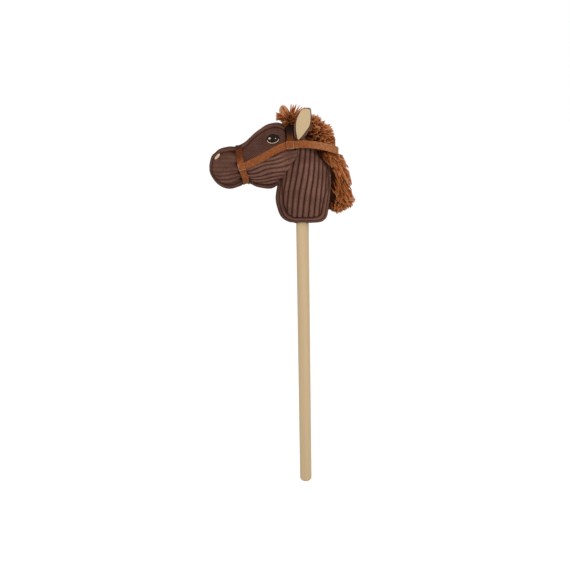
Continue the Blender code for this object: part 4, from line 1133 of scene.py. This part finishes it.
cotton = plain_finish(
    "lining_cotton", (0.63, 0.475, 0.275), (0.51, 0.37, 0.205), 520.0,
    contrast=1.2, roughness=0.9, bump=0.5, bump_height=0.0003,
)
for name, side in SIDES:
    points, across = ear_leaf(side, EAR_STATIONS, 0.0, EAR_CLOTH)
    # The leaf is flat: its cords are only in its colour, pale crowns and dark grooves; the grooves' dark is
    # partly the ground weave's colour and partly painted shade.
    cord = 0.30 + 0.55 * cord_profile(across * 1.6 + 0.2)
    shell = piece(
        "ear_shell_" + name, grid(points, round_columns=True, cap_rows=True, cord=cord),
        corduroy, body="ear_" + name,
    )
    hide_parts("ear_" + name)
    points, across = ear_leaf(side, LINING_STATIONS, EAR_CLOTH + 0.0003, EAR_LINING)
    lining = piece(
        "ear_cotton_" + name, grid(points, round_columns=True, cap_rows=True), cotton, body="ear_" + name
    )
    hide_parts("ear_lining_" + name)

# Each ear's foot is cloth gathered by a thread and sewn down on the neck's side, under the leaf.
# It stays on the head when the ear flops.
EAR_FOOT_FOLDS = 7
EAR_FOOT_PLACE = (0.0165, 0.0330, 0.0102)
EAR_FOOT_SIZE = (0.0078, 0.0050, 0.0040)
turn = circle(4 * EAR_FOOT_FOLDS)
climb = np.radians(np.linspace(-88, 88, 17))[:, None]
gathers = np.cos(EAR_FOOT_FOLDS * turn) * np.cos(climb)
for name, side in SIDES:
    foot_points = from_cheek(
        EAR_FOOT_PLACE[0] + EAR_FOOT_SIZE[0] * np.cos(climb) * np.cos(turn) * (1 + 0.06 * gathers),
        side * (EAR_FOOT_PLACE[1] + EAR_FOOT_SIZE[1] * np.sin(climb)),
        EAR_FOOT_PLACE[2] + EAR_FOOT_SIZE[2] * np.cos(climb) * np.sin(turn) * (1 + 0.06 * gathers),
    )
    # Painted light and shade on the gathers: their crests are drawn lighter and the folds between them
    # darker.
    foot = piece(
        "ear_foot_" + name,
        grid(foot_points, round_columns=True, cap_rows=True, cord=0.45 + 0.3 * gathers), corduroy,
    )


# The mane is rust woollen yarn, cut short and sewn by its middle to a tape on the crest, so that
# it stands out over the poll and hangs down behind the neck. Its ends have opened into soft tufts.
def yarn_material():
    """Yarn: rust along its length, darkened to near black towards the roots by painted shade and paled
    towards the tips by painted light. Strands drawn light fade to cream, which is painted light too.
    """
    made, tree = new_material("yarn")
    along, shade = carried(tree, "along"), carried(tree, "shade")
    rust = graded(
        tree, along,
        (0.0, (0.020, 0.007, 0.004)), (0.22, (0.065, 0.016, 0.005)), (0.48, (0.290, 0.068, 0.014)),
        (0.78, (0.46, 0.130, 0.031)), (0.91, (0.56, 0.200, 0.066)), (1.0, (0.74, 0.38, 0.17)),
    )
    # Each strand's shade value is random tone plus painted light and shade by where it lies in the mane.
    own = brightened(tree, rust, remapped(tree, shade, to_low=0.30, to_high=1.70))
    opened = {0: remapped(tree, shade, 0.62, 0.88, 0.0, 0.85), 1: remapped(tree, along, 0.35, 0.80)}
    faded = node(tree, "ShaderNodeMath", opened, operation="MULTIPLY").outputs[0]
    colour = mixed(tree, faded, own, (0.60, 0.355, 0.205, 1.0))
    fluff = pattern(tree, "ShaderNodeTexNoise", 900.0, Detail=3.0)["Fac"]
    return finished(made, tree, colour, fluff, 0.6, 0.0004, {
        "Roughness": 0.9, "Specular IOR Level": 0.04, "Sheen Weight": 0.15,
        "Sheen Tint": (0.85, 0.38, 0.15, 1.0),
    })


yarn = yarn_material()
dress(tape_cotton, "mane_tape")
# Outer point and tape side, each along and up from the cheek, and the half width
MANE_STATIONS = np.array((
    (0.0230, 0.0590, 0.0200, 0.0370, 0.0120),
    (0.0345, 0.0570, 0.0210, 0.0260, 0.0220),
    (0.0530, 0.0510, 0.0260, 0.0160, 0.0290),
    (0.0715, 0.0385, 0.0370, 0.0030, 0.0330),
    (0.0875, 0.0150, 0.0450, -0.0080, 0.0330),
    (0.0935, -0.0080, 0.0540, -0.0180, 0.0300),
    (0.1005, -0.0290, 0.0640, -0.0320, 0.0260),
    (0.1105, -0.0490, 0.0700, -0.0500, 0.0250),
    (0.1160, -0.0800, 0.0740, -0.0780, 0.0250),
    (0.1205, -0.1050, 0.0740, -0.1020, 0.0240),
    (0.1180, -0.1205, 0.0740, -0.1180, 0.0200),
    (0.0930, -0.1310, 0.0740, -0.1290, 0.0080),
))
YARN_STEPS = 7


def mane_place(at, turn, reach):
    """A place in the mane: station at, turn round it from the outer point, and share of its size."""
    out_x, out_z, in_x, in_z, half = run_through(MANE_STATIONS, at).T
    lead = (np.cos(turn) + 1) / 2
    x = in_x + (out_x - in_x) * lead * reach
    z = in_z + (out_z - in_z) * lead * reach
    return np.stack((x, half * np.sin(turn) * reach, z), -1)


def curved(roots, controls, tips):
    """Paths bent from root to tip: a quadratic Bezier curve for each strand."""
    t = np.linspace(0, 1, YARN_STEPS)[None, :, None]
    return roots[:, None] * (1 - t) ** 2 + controls[:, None] * 2 * t * (1 - t) + tips[:, None] * t**2


def strands(rng, paths, thickness, light, paling):
    """Yarn along paths: thick at the root, pointed at the tip, each with its own shade.

    With a paling under 1 the yarn's colour turns pale sooner than at its tip.
    """
    count, steps = paths.shape[:2]
    t = np.linspace(0, 1, steps)[None, :]
    taper = (0.70 + 0.30 * np.sin(math.pi * t)) * np.sqrt(np.clip(1.02 - t**3, 0.02, 1))
    size = thickness * rng.uniform(0.7, 1.3, (count, 1))
    shade = np.clip(light + rng.normal(0, 0.14, (count, 1)), 0, 1)
    return tubes(
        CHEEK + paths, taper * size, 5, along=np.broadcast_to(t**paling, (count, steps)),
        shade=np.broadcast_to(shade, (count, steps)),
    )


def tufts(rng, roots, bends, tips, each, apart, gather, thickness, light, keep=None, paling=1.0):
    """Tufts of yarn ends: strands start apart round each root, bend, and run together at the tip.

    Each is the strands in a tuft, light their brightness, and keep a rule that their paths follow.
    """
    count = len(roots)
    spread = rng.normal(size=(count, each, 3))
    loose = rng.normal(size=(count, each, 3))
    root = (roots[:, None] + spread * apart).reshape(-1, 3)
    bend = (bends[:, None] + spread * (apart + gather) * 0.8 + loose * 0.0008).reshape(-1, 3)
    tip = (tips[:, None] + loose * gather).reshape(-1, 3)
    paths = curved(root, bend, tip)
    if keep:
        paths = keep(paths)
    own = np.repeat(light + rng.normal(0, 0.15, count), each)[:, None]
    return strands(rng, paths, thickness, own, paling)


def even_places(rng, low, high, rows, columns, widest):
    """Places spread evenly over a run: jittered rows of stations and columns of turns."""
    at, turn = np.meshgrid(np.arange(rows) + 0.5, np.arange(columns) + 0.5, indexing="ij")
    at = low + (high - low) * (at + rng.uniform(-0.5, 0.5, at.shape)) / rows
    turn = widest * (2 * (turn + rng.uniform(-0.5, 0.5, turn.shape)) / columns - 1)
    return at.ravel(), turn.ravel()


def inside_loop(paths):
    """Keeps yarn inside the loop that the rein needs when it is lifted over the head."""
    radius = np.hypot(paths[..., 0], paths[..., 2])
    y = np.minimum(np.abs(paths[..., 1]), 0.0420)
    most = 0.0459 + 0.0405 * (1 - (y / 0.0430) ** 3) ** (1 / 3)
    scale = np.minimum(1, most / np.maximum(radius, 1e-6))
    return np.stack((paths[..., 0] * scale, np.sign(paths[..., 1]) * y, paths[..., 2] * scale), -1)


def below_rein(paths):
    """Keeps yarn that comes out behind the neck under the rein's lower edge."""
    x, y, z = paths[..., 0], np.abs(paths[..., 1]), paths[..., 2]
    out = (np.maximum(0, x - 0.0459) / 0.0415) ** 3 + (y / 0.0425) ** 3
    edge = rein_height(x) - STRAP_WIDTH / 2 - 0.0012
    low = np.where(out > 0.85, np.minimum(z, edge), z)
    return np.stack((x, paths[..., 1], low), -1)


def run_core(low, high, reach, keep):
    """A dark sheet under a run of the mane, drawn near black as painted shade: its own shape, made smaller.
    """
    count = 24
    rows = np.linspace(low, high, count)
    core = mane_place(np.repeat(rows, count), np.tile(circle(count), count), reach).reshape(count, count, 3)
    core[..., 1] *= 0.86 / reach
    flat = np.full((count, count), 0.05)
    return grid(CHEEK + keep(core), round_columns=True, cap_rows=True, along=flat, shade=flat * 6)


# Over the poll the yarn stands out all round; its places are read as station and turn
for number, (name, low, high, rows, columns) in enumerate((
    ("poll", 0.0, 3.1, 15, 14),
    ("upper", 3.1, 5.3, 12, 15),
)):
    rng = np.random.default_rng(40 + number)
    at, turn = even_places(rng, low, high, rows, columns, widest=2.35)
    reach = rng.uniform(0.82, 1.12, len(at))
    tips = mane_place(at + rng.normal(0, 0.10, len(at)), turn * 1.03, reach)
    roots = mane_place(np.clip(at - 0.25, 0, 11), turn * 0.9, 0.50)
    bends = mane_place(np.clip(at - 0.20, 0, 11), turn, 0.82)
    tips[:, 2] -= 0.0015
    # Painted light and shade: tufts towards the outer point, and longer ones, are drawn lighter; those turned
    # in towards the neck darker.
    light = 0.35 + 0.20 * np.cos(turn) + 0.10 * reach
    outer = tufts(
        rng, roots, bends, tips, each=10, apart=0.0026, gather=0.0007, thickness=0.00070, light=light,
        keep=inside_loop, paling=1.1,
    )
    core = run_core(low, high, reach=0.60, keep=inside_loop)
    made = piece("yarn_" + name, patches(outer, core), yarn)
    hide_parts("mane_" + name)

# Behind the neck it hangs: each tuft starts at the tape, comes out and falls to a point. Shorter
# yarn lies under it, as a piece of its own, drawn near black as painted shade.
for number, (name, low, high, rows, columns, hang, widest) in enumerate((
    ("middle", 5.1, 7.8, 17, 17, 0.95, 1.85),
    ("lower", 7.8, 10.7, 19, 17, 0.85, 2.1),
)):
    rng = np.random.default_rng(50 + number)
    at, turn = even_places(rng, low + 0.4, high + 0.3, rows, columns, widest)
    reach = rng.uniform(0.68, 1.10, len(at))
    drop = hang * rng.uniform(0.7, 1.15, len(at))
    tips = mane_place(np.minimum(at, 11), turn, reach)
    tips += rng.normal(0, 0.0018, tips.shape)
    roots = mane_place(np.clip(at - drop, low - 0.3, 11), turn * 0.75, 0.45)
    bends = mane_place(np.clip(at - drop * 0.55, low - 0.2, 11), turn, reach * 0.96)
    # Painted light and shade: tufts towards the outer point, and longer ones, are drawn lighter; those turned
    # in towards the neck darker.
    light = 0.34 + 0.24 * np.cos(turn) + 0.08 * reach
    outer = tufts(
        rng, roots, bends, tips, each=8, apart=0.0022, gather=0.0007, thickness=0.00072, light=light,
        keep=below_rein, paling=0.93,
    )
    at, turn = even_places(rng, low, high, rows=22, columns=14, widest=math.pi)
    tips = mane_place(at, turn, 0.72) * (1, 1.15, 1) + rng.normal(0, 0.0010, (len(at), 3))
    roots = mane_place(np.maximum(at - 0.5, low - 0.3), turn, 0.40)
    # The yarn under the tufts is drawn near black: painted shade.
    inner = [tufts(
        rng, roots, (roots + tips) / 2, tips, each=6, apart=0.0018, gather=0.0009, thickness=0.00070,
        light=0.02, keep=below_rein,
    )]
    if name == "middle":
        # Just under the rein the yarn also lies on both sides of the neck
        for side in (-1, 1):
            at, turn = even_places(rng, 5.5, 6.75, rows=6, columns=6, widest=0.45)
            turn = side * (2.05 + turn)
            tips = mane_place(at, turn, 1.0) * (1, 1.30, 1) + rng.normal(0, 0.0010, (len(at), 3))
            roots = mane_place(at - 1.0, turn, 0.80) * (1, 1.25, 1)
            bends = (roots + tips) / 2 + (0.001, 0, 0.001)
            inner.append(tufts(
                rng, roots, bends, tips, each=8, apart=0.0020, gather=0.0008, thickness=0.00070,
                light=0.44, keep=below_rein,
            ))
    core = run_core(low - 0.25, high, reach=0.55, keep=below_rein)
    for made in (
        piece("yarn_" + name, patches(outer, core), yarn),
        piece("yarn_" + name + "_under", patches(*inner), yarn),
    ):
        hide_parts("mane_" + name)

# The forelock is a bunch of the same yarn, sewn in at the poll between the ears. One clump is cut
# straight and lies forwards, one leans up and forwards, and a few single ends stand up.
FORELOCK_ROOT = np.array((0.0010, 0.0, 0.0400))
rng = np.random.default_rng(77)


def fanned(count, low, high, shortest, longest, wide):
    """Roots, bends and tips that fan out in the plane of the head, in degrees from straight back."""
    turn = np.radians(rng.uniform(low, high, count))
    aside = rng.uniform(-1, 1, count)
    length = rng.uniform(shortest, longest, count)[:, None]
    way = np.column_stack((np.cos(turn), aside * wide, np.sin(turn)))
    loose = rng.normal(0, 0.0025, count), aside * 0.011, rng.normal(0, 0.0015, count)
    root = FORELOCK_ROOT + np.column_stack(loose)
    return root, root + way * length * 0.5 + (0, 0, 0.0022), root + way * length


def bunch(count, *places_and_scatters):
    """Roots, bends and tips, each scattered round its own given place."""
    return [
        np.array(place) + rng.uniform(-1, 1, (count, 3)) * scatter for place, scatter in places_and_scatters
    ]


# A fan's count, turns, lengths and width, and then the tufts' each, apart, gather, thickness, light
# The second and third fans and the front foot fan have a light near 0: they are painted dark as the shade
# under the forelock.
FANS = (
    ((120, 15, 172, 0.010, 0.017, 0.85), (8, 0.0018, 0.0012, 0.00066, 0.42)),
    ((50, 168, 215, 0.006, 0.010, 0.9), (8, 0.0016, 0.0012, 0.00062, 0.0)),
    ((40, -45, 15, 0.009, 0.016, 1.2), (8, 0.0016, 0.0012, 0.00062, 0.0)),
)
FRONT_FOOT_FAN = ((30, 196, 222, 0.009, 0.0128, 0.9), (8, 0.0014, 0.0010, 0.00064, 0.04))
forelock_yarn = [tufts(rng, *fanned(*fan), *looks) for fan, looks in FANS]
forward_clump = bunch(
    34,
    ((-0.001, 0, 0.046), (0.003, 0.010, 0.003)),
    ((-0.014, 0, 0.0515), (0.003, 0.010, 0.005)),
    ((-0.0245, 0, 0.0515), (0.0008, 0.011, 0.0072)),
)
forelock_yarn.append(tufts(
    rng, *forward_clump, each=9, apart=0.0014, gather=0.0007, thickness=0.00066, light=0.50, paling=0.85
))
# The clump that leans up opens into two leaves, with looser yarn between them
upward_clump = (
    bunch(
        20,
        ((-0.0050, 0, 0.0500), (0.002, 0.008, 0.002)),
        ((-0.0205, 0, 0.0610), (0.0020, 0.009, 0.0015)),
        ((-0.0122, 0, 0.0715), (0.0010, 0.006, 0.0008)),
    ),
    bunch(
        20,
        ((-0.0005, 0, 0.0530), (0.002, 0.008, 0.002)),
        ((-0.0035, 0, 0.0630), (0.0018, 0.009, 0.0015)),
        ((-0.0120, 0, 0.0715), (0.0010, 0.006, 0.0008)),
    ),
    bunch(
        16,
        ((-0.0030, 0, 0.0510), (0.002, 0.008, 0.002)),
        ((-0.0120, 0, 0.0600), (0.0030, 0.009, 0.002)),
        ((-0.0125, 0, 0.0670), (0.0034, 0.008, 0.0020)),
    ),
)
# How close each of the three runs together, its brightness and its paling. The two leaves' high brightness is
# painted light: it pales them towards cream.
UPWARD_LOOKS = ((0.0005, 0.82, 0.36), (0.0005, 0.84, 0.36), (0.0007, 0.66, 0.55))
for clump, (gather, light, paling) in zip(upward_clump, UPWARD_LOOKS):
    forelock_yarn.append(tufts(
        rng, *clump, each=6, apart=0.0010, gather=gather, thickness=0.00060, light=light, paling=paling
    ))
SINGLE_ENDS = np.array((
    (0.0034, -0.002, 0.0742), (0.0084, 0.003, 0.0730), (0.0134, -0.004, 0.0734), (0.0202, 0.002, 0.0718),
    (0.0250, -0.006, 0.0688), (0.0298, 0.001, 0.0676), (0.0284, 0.004, 0.0652),
))
end_roots = FORELOCK_ROOT + (SINGLE_ENDS - FORELOCK_ROOT) * 0.28
end_bends = (end_roots + SINGLE_ENDS) / 2 + (0.0004, 0, 0.0008)
# The single ends are drawn pale: painted light.
forelock_yarn.append(tufts(
    rng, end_roots, end_bends, SINGLE_ENDS, each=7, apart=0.0011, gather=0.0005, thickness=0.00078,
    light=0.74, paling=0.66,
))
fan, looks = FRONT_FOOT_FAN
forelock_yarn.append(tufts(rng, *fanned(*fan), *looks))
# A cap closes the crown of the neck under the forelock; its near-black colour is painted shade.
CAP_HALF_WIDTH = 0.0355
CAP_HEIGHT = 0.0345
run = np.linspace(-0.0140, 0.0225, 18)[:, None]
size = (1 - np.abs((run - 0.00425) / 0.0184) ** 5) ** 0.35
turn = circle(40)
cap_y = CAP_HALF_WIDTH * size * squarer(np.cos(turn), 0.8)
over_head = CAP_HEIGHT * size * np.abs(np.sin(turn)) ** 0.8
cap_z = np.where(np.sin(turn) > 0, over_head, -0.004 * np.abs(np.sin(turn)))
dark = np.full(cap_y.shape, 0.02)
cap = grid(from_cheek(run, cap_y, cap_z), round_columns=True, cap_rows=True, along=dark, shade=dark)
forelock = piece("yarn_forelock", patches(*forelock_yarn, cap), yarn)
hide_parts("forelock")
